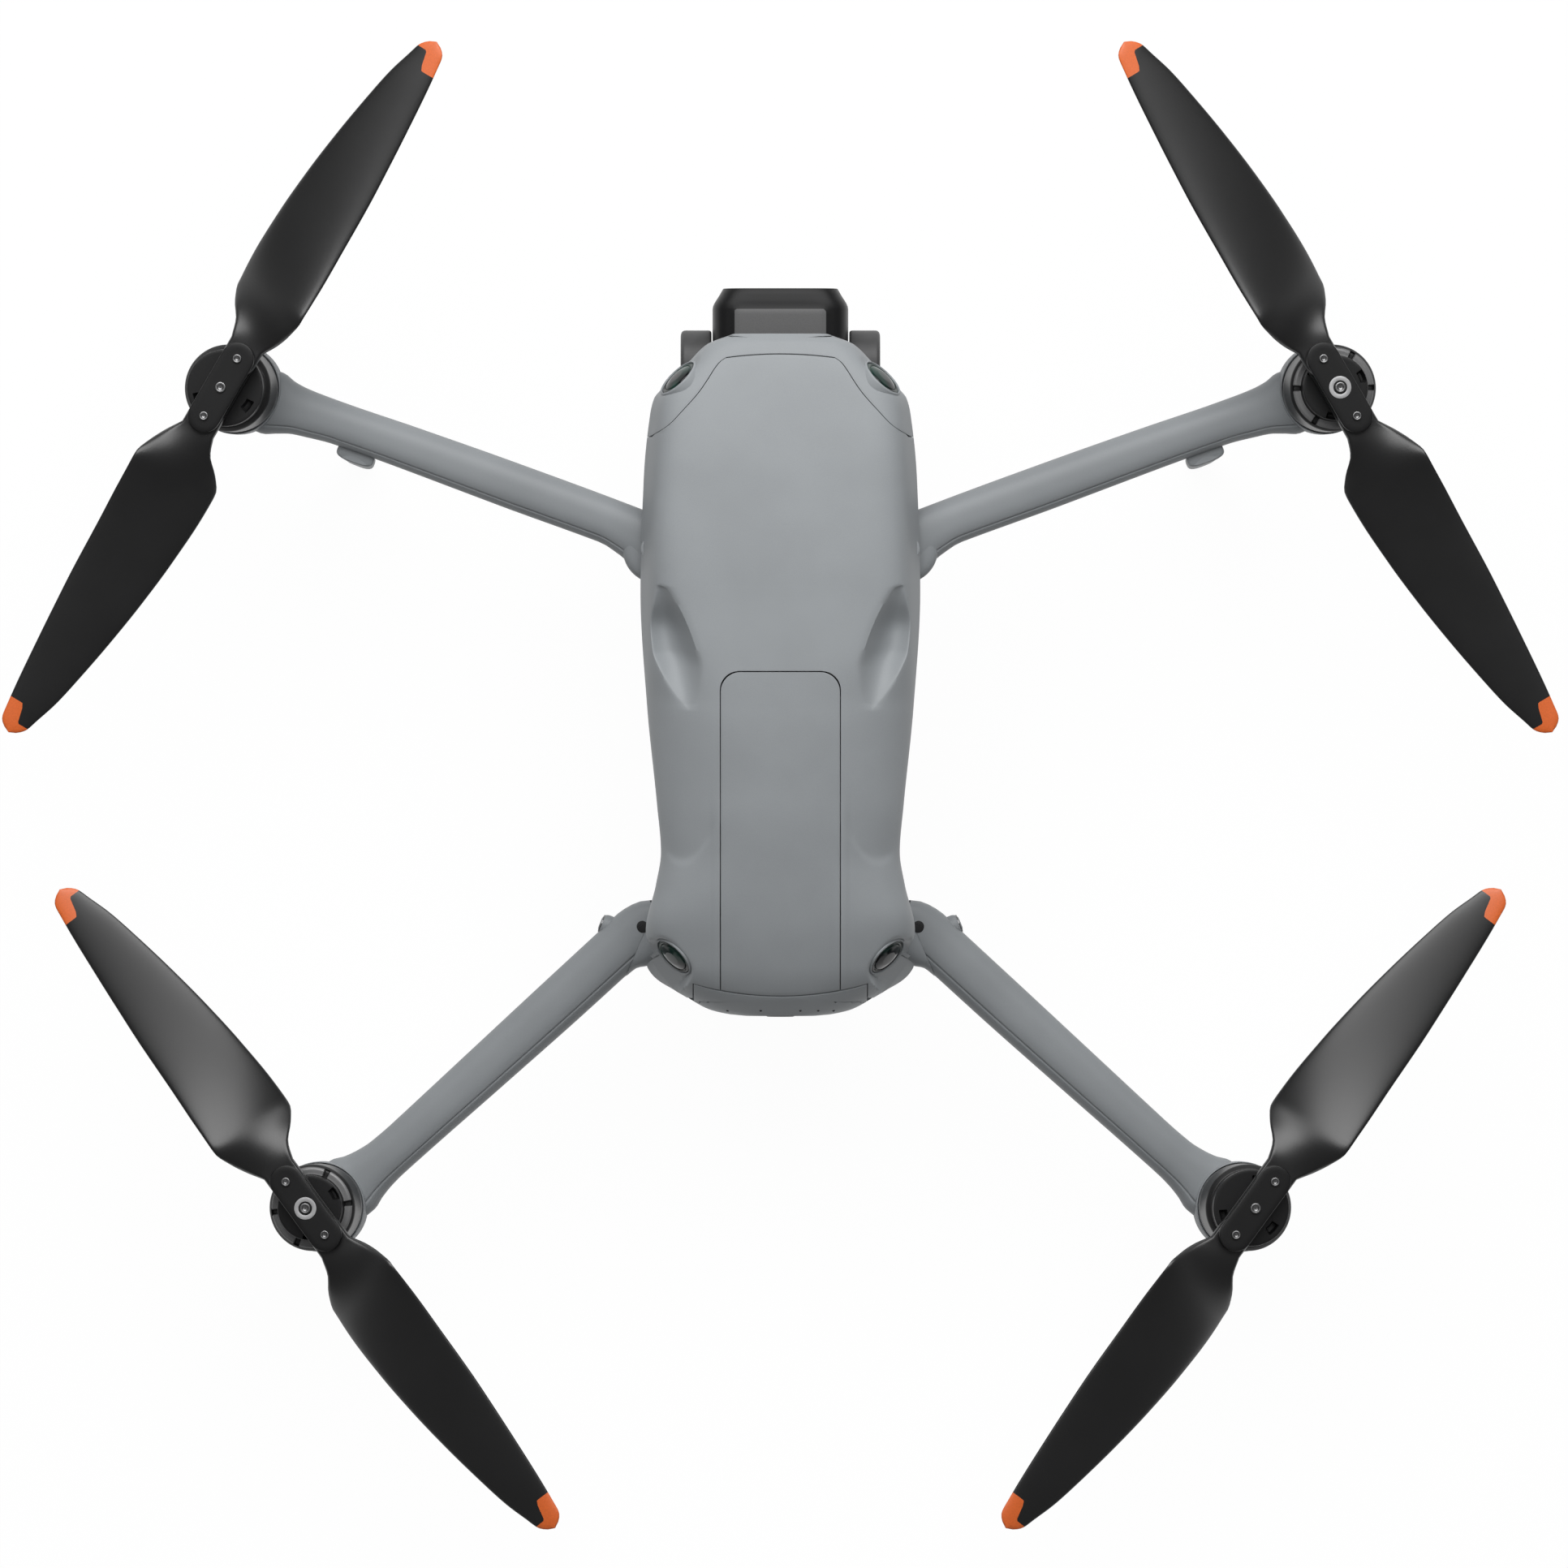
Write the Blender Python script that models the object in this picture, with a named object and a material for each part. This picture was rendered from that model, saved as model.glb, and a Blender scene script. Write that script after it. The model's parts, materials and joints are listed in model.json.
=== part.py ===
"""Folding camera quadcopter: shells, folding arms, motors, hinged blades, gimbal camera and battery.

Metres, +Z up, +Y forward. The origin lies on the ground under the middle of the rotor span.
"""
import math

import bmesh
import bpy
from mathutils import Matrix, Vector

# General fits
SEAT_GAP = 0.0003
PIN_CLEARANCE = 0.0003
ROUND_SEGMENTS = 24
PIN_SEGMENTS = 16

# Rotor layout, left side mirrored to the right
ROTOR_CANT = math.radians(8.0)
ARM_HALF_HEIGHT = 0.0065
ARM_SLIM_HALF_HEIGHT = 0.0059
FRONT_HINGE_XY = (0.0335, 0.0648)
FRONT_MOTOR_XY = (0.1501, 0.1090)
FRONT_SEAT_Z = 0.0668
FRONT_HUB_HEADING = math.radians(59.6)
REAR_HINGE_XY = (0.0440, -0.0405)
REAR_MOTOR_XY = (0.1274, -0.1167)
REAR_SEAT_Z = 0.0420
REAR_HUB_HEADING = math.radians(126.4)
REAR_FOLD_AXIS = (0.924, -0.383, 0.0)

# Arm plan: (distance from the motor, rear edge, front edge), the edges measured across the line to the hinge
FRONT_ARM_EDGES = (
    (0.0040, -0.0095, 0.0095), (0.0110, -0.0090, 0.0084), (0.0150, -0.0074, 0.0073), (0.0200, -0.0061, 0.0068),
    (0.0300, -0.0049, 0.0069), (0.0500, -0.0045, 0.0076), (0.0800, -0.0044, 0.0083), (0.1100, -0.0040, 0.0086),
    (0.1200, -0.0050, 0.0080),
)
REAR_ARM_EDGES = (
    (0.0040, -0.0095, 0.0095), (0.0110, -0.0098, 0.0078), (0.0150, -0.0090, 0.0058), (0.0200, -0.0085, 0.0046),
    (0.0300, -0.0085, 0.0039), (0.0600, -0.0092, 0.0040), (0.0900, -0.0098, 0.0041), (0.0985, -0.0098, 0.0044),
    (0.1060, -0.0062, 0.0058), (0.1115, -0.0060, 0.0060),
)

# Body stations from tail to nose: (forward position, value)
BODY_HALF_WIDTH = (
    (-0.0636, 0.0140), (-0.0615, 0.0200), (-0.0587, 0.0266), (-0.0542, 0.0337), (-0.0498, 0.0370),
    (-0.0400, 0.0370), (-0.0275, 0.0342), (-0.0185, 0.0328), (-0.0051, 0.0339), (0.0217, 0.0366),
    (0.0529, 0.0384), (0.0842, 0.0375), (0.1020, 0.0357), (0.1083, 0.0335), (0.1163, 0.0260),
    (0.1210, 0.0210), (0.1237, 0.0131),
)
BODY_TOP = (
    (-0.0636, 0.0780), (-0.0587, 0.0850), (-0.0498, 0.0905), (-0.0275, 0.0975), (-0.0051, 0.1020),
    (0.0300, 0.1050), (0.0529, 0.1050), (0.0842, 0.1030), (0.1083, 0.0990), (0.1210, 0.0955),
    (0.1237, 0.0935),
)
UPPER_RIM = ((-0.0636, 0.0620), (-0.0440, 0.0620), (-0.0340, 0.0810), (-0.0051, 0.0860), (0.1237, 0.0860))
UPPER_SQUARENESS = ((-0.0636, 3.0), (-0.0400, 3.4), (-0.0185, 2.3), (0.0217, 2.3), (0.0600, 4.6), (0.1237, 5.0))
LOWER_HALF_WIDTH = (
    (-0.0620, 0.0190), (-0.0590, 0.0250), (-0.0520, 0.0320), (-0.0430, 0.0320), (-0.0345, 0.0268),
    (-0.0100, 0.0268), (0.0100, 0.0315), (0.0400, 0.0340), (0.0660, 0.0340), (0.0730, 0.0300), (0.0760, 0.0250),
)
LOWER_BOTTOM = (
    (-0.0620, 0.0340), (-0.0590, 0.0280), (-0.0520, 0.0240), (0.0500, 0.0240), (0.0640, 0.0290),
    (0.0730, 0.0430), (0.0760, 0.0520),
)
SHELF_Z = 0.0615
SHELL_WALL = 0.0022
LOWER_FLOOR = 0.0045
NECK_HALF_WIDTH = 0.0262
NECK_NOSE_HALF_WIDTH = 0.0180
NECK_WALL = 0.0020
NECK_FRONT = 0.0750
CAVITY_FRONT = 0.0920
CAVITY_REAR = -0.0520
FLANGE_SPLIT = -0.0200
ARM_SLOT_DEPTH_X = 0.0350
ARM_SLOT_BOTTOM = 0.0705
ARM_SLOT_FRONT = -0.0300

# Front trim seam in plan, right half from the side to the middle
TRIM_SEAM = ((0.0600, 0.0955), (0.0355, 0.0955), (0.0244, 0.1047), (0.0171, 0.1147), (0.0150, 0.1182))
NOSE_REACH = 0.1400

# Battery
BATTERY_HALF_WIDTH = 0.0238
BATTERY_FRONT = 0.0308
BATTERY_BLOCK_TOP = 0.0780
BATTERY_PANEL_HALF_WIDTH = 0.0163
BATTERY_PANEL_CORNER = 0.0053
END_PLATE_SEAM = -0.0568
BATTERY_WALL = 0.0016
POWER_BUTTON_RADIUS = 0.0040
POWER_BUTTON_Z = 0.0690
POWER_BUTTON_TRAVEL = 0.0010
BUCKLE_SIZE = (0.0036, 0.0076, 0.0120)
BUCKLE_Y = -0.0530
BUCKLE_Z = 0.0710
BUCKLE_TRAVEL = 0.0015

# Sensors: windows set in the corners
SENSOR_RADIUS = 0.0058
SENSOR_DEPTH = 0.0040
FRONT_SENSOR_AT = (0.0283, 0.1118, 0.0925)
FRONT_SENSOR_FACING = (0.66, 0.69, 0.31)
REAR_SENSOR_AT = (0.0296, -0.0475, 0.0838)
REAR_SENSOR_FACING = (0.66, -0.64, 0.40)

# Arms and hinges
KNUCKLE_RADIUS = 0.0095
KNUCKLE_ROOM = 0.0112
HINGE_PIN_RADIUS = 0.0025
HINGE_PIN_GRIP = 0.0060
FRONT_UPPER_BOSS_RADIUS = 0.0058
FRONT_LOWER_BOSS_RADIUS = 0.0095
REAR_KNUCKLE_RADIUS = 0.0066
REAR_KNUCKLE_LENGTH = 0.0120
MOTOR_CUP_RADIUS = 0.0132
MOTOR_CUP_DEPTH = 0.0105
LEG_FROM_MOTOR = 0.0345
LEG_TOP_SIZE = (0.0054, 0.0022)
LEG_FOOT_SIZE = (0.0044, 0.0022)
LEG_ROOT_RISE = 0.0015
REAR_FOOT_XY = (0.0190, -0.0480)
REAR_FOOT_RADIUS = 0.0060

# Motor and propeller, heights along the rotor axis from the motor seat
STATOR_RADIUS = 0.0098
STATOR_TOP = 0.0112
BELL_RADIUS = 0.0120
BELL_BOTTOM = 0.0022
BELL_TOP = 0.0140
BELL_WALL = 0.0010
SHAFT_RADIUS = 0.0016
MOUNT_RADIUS = 0.0082
MOUNT_TOP = 0.0178
HUB_PIVOT_RADIUS = 0.0091
HUB_PLATE_HALF_WIDTH = 0.0046
HUB_CORE_HALF_LENGTH = 0.0030
PLATE_THICKNESS = 0.0015
BLADE_ROOT_THICKNESS = 0.0030
BLADE_EYE_RADIUS = 0.0050
PIVOT_PIN_RADIUS = 0.0014
SCREW_HEAD_HEIGHT = 0.0007
BLADE_PITCH = 0.1194
BLADE_STATIONS = (
    (0.0134, 0.0050, 0.0050), (0.0179, 0.0077, 0.0065), (0.0223, 0.0096, 0.0100), (0.0268, 0.0108, 0.0121),
    (0.0357, 0.0108, 0.0124), (0.0491, 0.0105, 0.0118), (0.0625, 0.0102, 0.0105), (0.0759, 0.0095, 0.0086),
    (0.0893, 0.0086, 0.0062), (0.0982, 0.0079, 0.0043), (0.1049, 0.0072, 0.0022), (0.1094, 0.0066, 0.0007),
    (0.1117, 0.0052, -0.0008),
)

# Gimbal: yaw about the mast, roll about the fore-aft axis, tilt about the cross axis
YAW_Y = 0.0910
ROLL_Z = 0.0580
TILT_Y = 0.1155
DAMPER_PLATE_TOP = 0.0857
DAMPER_PLATE_BOTTOM = 0.0820
DAMPER_PLATE_HALF = (0.0165, 0.0110)
YAW_DISC_RADIUS = 0.0080
YAW_DISC_BOTTOM = 0.0768
YAW_STEM_Y = (0.0795, 0.0840)
YAW_STEM_HALF_WIDTH = 0.0070
ROLL_MOTOR_RADIUS = 0.0090
ROLL_MOTOR_FRONT = 0.0905
YOKE_PLATE_DEPTH = 0.0040
YOKE_INNER = 0.0190
YOKE_OUTER = 0.0275
YOKE_ARM_HALF_HEIGHT = 0.0055
POD_RADIUS = 0.0098
CAMERA_HALF_WIDTH = 0.0187
CAMERA_FACE_HALF_WIDTH = 0.0162
CAMERA_FRONT = 0.1366
CAMERA_BACK = 0.1005
CAMERA_HALF_HEIGHT = 0.0165
CAMERA_CHAMFER_DEPTH = 0.0050
WIDE_LENS = (0.0, -0.0072, 0.0082)
TELE_LENS = (0.0, 0.0088, 0.0060)
LENS_DEPTH = 0.0060

# Inside
BOARD_SIZE = (0.0320, 0.0740, 0.0016)
BOARD_Y = 0.0080
SINK_SIZE = (0.0300, 0.0340, 0.0110)
SINK_Y = -0.0060
SINK_FIN_PITCH = 0.0050
SINK_FIN_GAP = 0.0026
FAN_Y = 0.0290
FAN_FRAME_RADIUS = 0.0155
FAN_FRAME_HEIGHT = 0.0090
FAN_ROTOR_RADIUS = 0.0125
FAN_VANES = 7
BELLY_PANEL_SIZE = (0.0340, 0.0500, 0.0022)
BELLY_PANEL_Y = 0.0100

FINISHES = {
    "grey_plastic": ((0.300, 0.315, 0.325), 0.55, 0.0),
    "dark_plastic": ((0.045, 0.047, 0.050), 0.45, 0.0),
    "black_blade": ((0.016, 0.016, 0.017), 0.38, 0.0),
    "motor_metal": ((0.050, 0.050, 0.052), 0.35, 0.7),
    "steel": ((0.560, 0.560, 0.560), 0.30, 1.0),
    "lens_glass": ((0.010, 0.012, 0.014), 0.06, 0.0),
    "rubber": ((0.030, 0.030, 0.030), 0.80, 0.0),
    "board_green": ((0.030, 0.120, 0.060), 0.50, 0.0),
    "aluminium": ((0.600, 0.610, 0.620), 0.40, 1.0),
    "cell_wrap": ((0.100, 0.110, 0.130), 0.50, 0.0),
}


def finish(name):
    """The Principled material of that finish, made on first use."""
    if name in bpy.data.materials:
        return bpy.data.materials[name]
    colour, roughness, metallic = FINISHES[name]
    material = bpy.data.materials.new(name)
    material.use_nodes = True
    shader = material.node_tree.nodes["Principled BSDF"]
    shader.inputs["Base Color"].default_value = (*colour, 1.0)
    shader.inputs["Roughness"].default_value = roughness
    shader.inputs["Metallic"].default_value = metallic
    return material


def add_object(name, mesh, finish_name, parent=None, turn=None):
    """A named object with its finish, placed in its parent's frame."""
    piece = bpy.data.objects.new(name, mesh)
    bpy.context.scene.collection.objects.link(piece)
    if finish_name:
        if not mesh.materials:
            mesh.materials.append(finish(finish_name))
        elif mesh.materials[0] is not finish(finish_name):
            piece.material_slots[0].link = "OBJECT"
            piece.material_slots[0].material = finish(finish_name)
    piece.parent = parent
    if turn is not None:
        piece.matrix_local = turn
    return piece


def add_empty(name, frame, parent=None):
    """An empty that carries a joint's frame."""
    empty = bpy.data.objects.new(name, None)
    bpy.context.scene.collection.objects.link(empty)
    empty.parent = parent
    empty.matrix_local = frame
    return empty


def build_mesh(name, points, faces):
    """A mesh of those points and faces with outward normals and smooth round sides."""
    mesh = bpy.data.meshes.new(name)
    mesh.from_pydata([tuple(point) for point in points], [], faces)
    work = bmesh.new()
    work.from_mesh(mesh)
    bmesh.ops.recalc_face_normals(work, faces=work.faces)
    work.to_mesh(mesh)
    work.free()
    mesh.shade_smooth()
    mesh.set_sharp_from_angle(angle=math.radians(32.0))
    return mesh


def loft(name, rings):
    """Closed rings of equal count skinned in order, with a fan to the middle of each end ring."""
    count = len(rings[0])
    points = [point for ring in rings for point in ring]
    faces = []
    for row in range(len(rings) - 1):
        for column in range(count):
            across = (column + 1) % count
            faces.append((row * count + column, row * count + across,
                          (row + 1) * count + across, (row + 1) * count + column))
    for ring_start, ring in ((0, rings[0]), ((len(rings) - 1) * count, rings[-1])):
        middle = sum((Vector(point) for point in ring), Vector()) / count
        points.append(middle)
        faces.extend((ring_start + column, ring_start + (column + 1) % count, len(points) - 1)
                     for column in range(count))
    return build_mesh(name, points, faces)


def turned(name, profile, segments=ROUND_SEGMENTS):
    """A profile of (radius, height) turned about Z; it starts and ends on the axis or closes on itself."""
    rows = []
    points = []
    for radius, height in profile:
        if radius == 0.0:
            rows.append([len(points)] * segments)
            points.append((0.0, 0.0, height))
            continue
        rows.append(range(len(points), len(points) + segments))
        for step in range(segments):
            angle = 2.0 * math.pi * step / segments
            points.append((radius * math.cos(angle), radius * math.sin(angle), height))
    closed = profile[0][0] > 0.0
    faces = []
    for index in range(len(rows) if closed else len(rows) - 1):
        lower, upper = rows[index], rows[(index + 1) % len(rows)]
        for step in range(segments):
            after = (step + 1) % segments
            corner = dict.fromkeys((lower[step], lower[after], upper[after], upper[step]))
            if len(corner) > 2:
                faces.append(tuple(corner))
    return build_mesh(name, points, faces)


def rod(name, radius, bottom, top, segments=ROUND_SEGMENTS):
    """A plain cylinder along Z."""
    return turned(name, ((0.0, bottom), (radius, bottom), (radius, top), (0.0, top)), segments)


def prism(name, outline, bottom, top):
    """A plan outline raised from bottom to top."""
    count = len(outline)
    points = [(x, y, bottom) for x, y in outline] + [(x, y, top) for x, y in outline]
    faces = [tuple(range(count)), tuple(range(count, 2 * count))]
    faces += [(step, (step + 1) % count, count + (step + 1) % count, count + step) for step in range(count)]
    return build_mesh(name, points, faces)


def block(name, low, high):
    """A box between two corners."""
    outline = ((low[0], low[1]), (high[0], low[1]), (high[0], high[1]), (low[0], high[1]))
    return prism(name, outline, low[2], high[2])


def rounded_outline(half_width, front, rear, corner, steps=4):
    """A plan rectangle whose two front corners are arcs."""
    outline = [(half_width, rear)]
    for sign, start in ((1, 0.0), (-1, math.pi / 2)):
        for step in range(steps + 1):
            angle = start + math.pi / 2 * step / steps
            outline.append((sign * (half_width - corner) + corner * math.cos(angle),
                            front - corner + corner * math.sin(angle)))
    return outline + [(-half_width, rear)]


def combine(target, tool_name, mesh, operation, parent=None, turn=None):
    """A Boolean of the target with a hidden tool body."""
    tool = add_object(tool_name, mesh, None, parent, turn)
    tool.hide_render = True
    tool.display_type = "WIRE"
    modifier = target.modifiers.new(tool_name, "BOOLEAN")
    modifier.object = tool
    modifier.operation = operation
    modifier.solver = "EXACT"


def baked(piece):
    """The piece's mesh with its modifiers worked in."""
    graph = bpy.context.evaluated_depsgraph_get()
    mesh = bpy.data.meshes.new_from_object(piece.evaluated_get(graph))
    mesh.name = piece.name
    return mesh


def along(stations, position):
    """Smooth value at a position: a cubic between stations with limited slopes."""
    position = min(max(position, stations[0][0]), stations[-1][0])
    index = max(i for i in range(len(stations) - 1) if stations[i][0] <= position)
    slopes = [(b[1] - a[1]) / (b[0] - a[0]) for a, b in zip(stations, stations[1:])]

    def tangent(i):
        if i == 0 or i == len(stations) - 1:
            return slopes[min(i, len(slopes) - 1)]
        before, after = slopes[i - 1], slopes[i]
        return 0.0 if before * after <= 0.0 else 2.0 * before * after / (before + after)

    (start, low), (stop, high) = stations[index], stations[index + 1]
    span = stop - start
    t = (position - start) / span
    return (low * (1 + 2 * t) * (1 - t) ** 2 + high * t * t * (3 - 2 * t)
            + span * (tangent(index) * t * (1 - t) ** 2 - tangent(index + 1) * t * t * (1 - t)))


def spread(low, high, longest):
    """Even positions from low to high no further apart than longest."""
    count = max(1, math.ceil((high - low) / longest))
    return [low + (high - low) * step / count for step in range(count + 1)]


def body_positions():
    """Forward positions of the upper body's sections: every width station, with fills in the long runs."""
    positions = [BODY_HALF_WIDTH[0][0]]
    for (start, _), (stop, _) in zip(BODY_HALF_WIDTH, BODY_HALF_WIDTH[1:]):
        positions += spread(start, stop, 0.0110)[1:]
    return positions


def upper_section(position, inset=0.0, floor=None, steps=16):
    """Arch of the upper body at one forward position: a superellipse over the rim."""
    half = along(BODY_HALF_WIDTH, position) - inset
    rim = along(UPPER_RIM, position) if floor is None else floor
    rise = along(BODY_TOP, position) - inset - rim
    power = 2.0 / along(UPPER_SQUARENESS, position)
    ring = []
    for step in range(steps + 1):
        angle = math.pi * step / steps
        across = math.copysign(abs(math.cos(angle)) ** power, math.cos(angle)) if step != steps / 2 else 0.0
        ring.append((half * across, position, rim + rise * math.sin(angle) ** power if 0 < step < steps else rim))
    return ring


def lower_section(position, inset=0.0, top=SHELF_Z, floor=0.0, power=0.45, steps=14):
    """Trough of the lower body at one forward position."""
    half = along(LOWER_HALF_WIDTH, position) - inset
    bottom = along(LOWER_BOTTOM, position) + floor
    ring = []
    for step in range(steps + 1):
        angle = math.pi * step / steps
        across = math.copysign(abs(math.cos(angle)) ** power, math.cos(angle)) if step != steps / 2 else 0.0
        drop = (top - bottom) * math.sin(angle) ** power if 0 < step < steps else 0.0
        ring.append((half * across, position, top - drop))
    return ring


def facing_frame(at, facing):
    """A frame at a point with Z along the facing direction."""
    turn = Vector(facing).to_track_quat("Z", "Y").to_matrix().to_4x4()
    return Matrix.Translation(at) @ turn


def side_name(side):
    """Left lies at minus X."""
    return "left" if side < 0 else "right"


def mirrored(point, side):
    """A point or direction given for the right side, put on that side."""
    return (side * point[0], *point[1:])


def rotor_axis(side):
    """The rotor's spin axis, canted outward."""
    return Vector((side * math.sin(ROTOR_CANT), 0.0, math.cos(ROTOR_CANT)))


def arm_frame(side, hinge, motor, seat_z):
    """Frame on the hinge: X along the arm, Z along the rotor axis. Also the arm's length."""
    axis = rotor_axis(side)
    end = Vector((side * motor[0], motor[1], seat_z)) - axis * ARM_HALF_HEIGHT
    start = Vector((side * hinge[0], hinge[1], 0.0))
    start.z = end.z - ((start.x - end.x) * axis.x) / axis.z
    reach = end - start
    forward = reach.normalized()
    sideways = axis.cross(forward)
    turn = Matrix((forward, sideways, axis)).transposed().to_4x4()
    return Matrix.Translation(start) @ turn, reach.length


def oval_ring(position, half_width, half_height, shift=0.0, lift=0.0, count=16):
    """A rounded box section across the arm."""
    ring = []
    for step in range(count):
        angle = 2.0 * math.pi * (step + 0.5) / count
        y = math.copysign(abs(math.cos(angle)) ** 0.55, math.cos(angle)) * half_width + shift
        z = math.copysign(abs(math.sin(angle)) ** 0.55, math.sin(angle)) * half_height + lift
        ring.append((position, y, z))
    return ring


def trim_outline(shift):
    """Plan region of the front trim: ahead of the seam, which is moved by shift."""
    right = [(x, y + shift) for x, y in TRIM_SEAM]
    left = [(-x, y) for x, y in reversed(right)]
    far = TRIM_SEAM[0][0]
    return right + left + [(-far, NOSE_REACH), (far, NOSE_REACH)]


def battery_outline(gap):
    """Plan of the exposed panel and the end plate behind it, grown by a gap."""
    corner = BATTERY_PANEL_CORNER
    panel = rounded_outline(BATTERY_PANEL_HALF_WIDTH + gap, BATTERY_FRONT + gap, END_PLATE_SEAM + gap, corner)
    plate = BATTERY_HALF_WIDTH + gap
    far = BODY_HALF_WIDTH[0][0] * 1.2
    return [(plate, far), (plate, END_PLATE_SEAM + gap), *panel, (-plate, END_PLATE_SEAM + gap), (-plate, far)]


def make_upper_shell():
    """Top shell: an arch with a roof wall, a flange with an opening, the battery slot and sensor seats."""
    positions = body_positions()
    solid = loft("upper_body", [upper_section(position) for position in positions])
    shell = add_object("upper_shell", solid, "grey_plastic")
    inner = [upper_section(position, SHELL_WALL, along(UPPER_RIM, position) + SHELL_WALL)
             for position in spread(CAVITY_REAR, CAVITY_FRONT, 0.0120)]
    combine(shell, "upper_cavity", loft("upper_cavity", inner), "DIFFERENCE")
    guide = NECK_HALF_WIDTH - NECK_WALL
    nose_guide = NECK_NOSE_HALF_WIDTH - NECK_WALL
    waist = FRONT_HINGE_XY[1] - KNUCKLE_ROOM - 0.006
    low = SHELF_Z - 0.004
    half = ((guide, FLANGE_SPLIT - 0.004), (guide, waist - 0.006), (nose_guide, waist), (nose_guide, NECK_FRONT - 0.002))
    outline = [*half, *((-x, y) for x, y in reversed(half))]
    opening = prism("front_flange_opening", outline, low, UPPER_RIM[-1][1] + 0.003)
    combine(shell, "front_flange_opening", opening, "DIFFERENCE")
    tail = 1.2 * BODY_HALF_WIDTH[0][0]
    opening = block("rear_flange_opening", (-guide - 0.0001, tail, low - 0.001),
                    (guide + 0.0001, FLANGE_SPLIT, BATTERY_BLOCK_TOP + SEAT_GAP))
    combine(shell, "rear_flange_opening", opening, "DIFFERENCE")
    combine(shell, "battery_slot", prism("battery_slot", battery_outline(SEAT_GAP), low - 0.002, 0.12), "DIFFERENCE")
    for side in (-1, 1):
        half_y = BUCKLE_SIZE[1] / 2 + SEAT_GAP
        slot = block("buckle_slot", (min(0, side * 0.05), BUCKLE_Y - half_y, BUCKLE_Z - BUCKLE_SIZE[2] / 2 - SEAT_GAP),
                     (max(0, side * 0.05), BUCKLE_Y + half_y, BUCKLE_Z + BUCKLE_SIZE[2] / 2 + SEAT_GAP))
        combine(shell, f"buckle_slot_{side_name(side)}", slot, "DIFFERENCE")
    for side in (-1, 1):
        near, far = sorted((side * ARM_SLOT_DEPTH_X, side * 0.06))
        slot = block("arm_slot", (near, tail, ARM_SLOT_BOTTOM), (far, ARM_SLOT_FRONT, 0.12))
        combine(shell, f"arm_slot_{side_name(side)}", slot, "DIFFERENCE")
    combine(shell, "trim_region", prism("trim_region", trim_outline(-SEAT_GAP * 1.3), 0.08, 0.12), "DIFFERENCE")
    for side in (-1, 1):
        frame, _ = arm_frame(side, FRONT_HINGE_XY, FRONT_MOTOR_XY, FRONT_SEAT_Z)
        low = ARM_HALF_HEIGHT + SEAT_GAP
        boss = rod("front_upper_boss", FRONT_UPPER_BOSS_RADIUS, low, low + 0.0085, 20)
        combine(shell, f"front_upper_boss_{side_name(side)}", boss, "UNION", turn=frame)
        bore = rod("front_upper_bore", HINGE_PIN_RADIUS + PIN_CLEARANCE, 0.0, low + HINGE_PIN_GRIP, 16)
        combine(shell, f"front_upper_bore_{side_name(side)}", bore, "DIFFERENCE", turn=frame)
        seat = rod("rear_sensor_seat", SENSOR_RADIUS + SEAT_GAP, -SENSOR_DEPTH - SEAT_GAP, 0.012)
        at = facing_frame(mirrored(REAR_SENSOR_AT, side), mirrored(REAR_SENSOR_FACING, side))
        combine(shell, f"rear_sensor_seat_{side_name(side)}", seat, "DIFFERENCE", turn=at)


def make_front_trim():
    """Rim of the nose ahead of the seam, with the seats of the front sensors."""
    solid = loft("trim_body", [upper_section(position) for position in body_positions()])
    trim = add_object("front_trim", solid, "grey_plastic")
    combine(trim, "trim_part", prism("trim_part", trim_outline(0.0), 0.08, 0.12), "INTERSECT")
    for side in (-1, 1):
        seat = rod("front_sensor_seat", SENSOR_RADIUS + SEAT_GAP, -SENSOR_DEPTH - SEAT_GAP, 0.012)
        at = facing_frame(mirrored(FRONT_SENSOR_AT, side), mirrored(FRONT_SENSOR_FACING, side))
        combine(trim, f"front_sensor_seat_{side_name(side)}", seat, "DIFFERENCE", turn=at)


def make_sensors():
    """Four corner windows, each a shallow domed disc."""
    rise = SENSOR_DEPTH * 0.12
    profile = ((0.0, -SENSOR_DEPTH), (SENSOR_RADIUS, -SENSOR_DEPTH), (SENSOR_RADIUS, -rise), (SENSOR_RADIUS * 0.6, 0.0),
               (0.0, rise))
    mesh = turned("vision_sensor", profile)
    for side in (-1, 1):
        for end, at, facing in (("front", FRONT_SENSOR_AT, FRONT_SENSOR_FACING),
                                ("rear", REAR_SENSOR_AT, REAR_SENSOR_FACING)):
            frame = facing_frame(mirrored(at, side), mirrored(facing, side))
            add_object(f"{end}_{side_name(side)}_vision_sensor", mesh, "lens_glass", turn=frame)


def rear_hinge_frame(side):
    """Frame on the rear hinge with Z out along the fold axis."""
    frame, _ = arm_frame(side, REAR_HINGE_XY, REAR_MOTOR_XY, REAR_SEAT_Z)
    return facing_frame(frame.translation, rear_fold_axis(side))


def rear_fold_axis(side):
    """Outward fold axis of the rear arm."""
    x, y, z = REAR_FOLD_AXIS
    return Vector((side * x, -y, z)).normalized()


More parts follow.
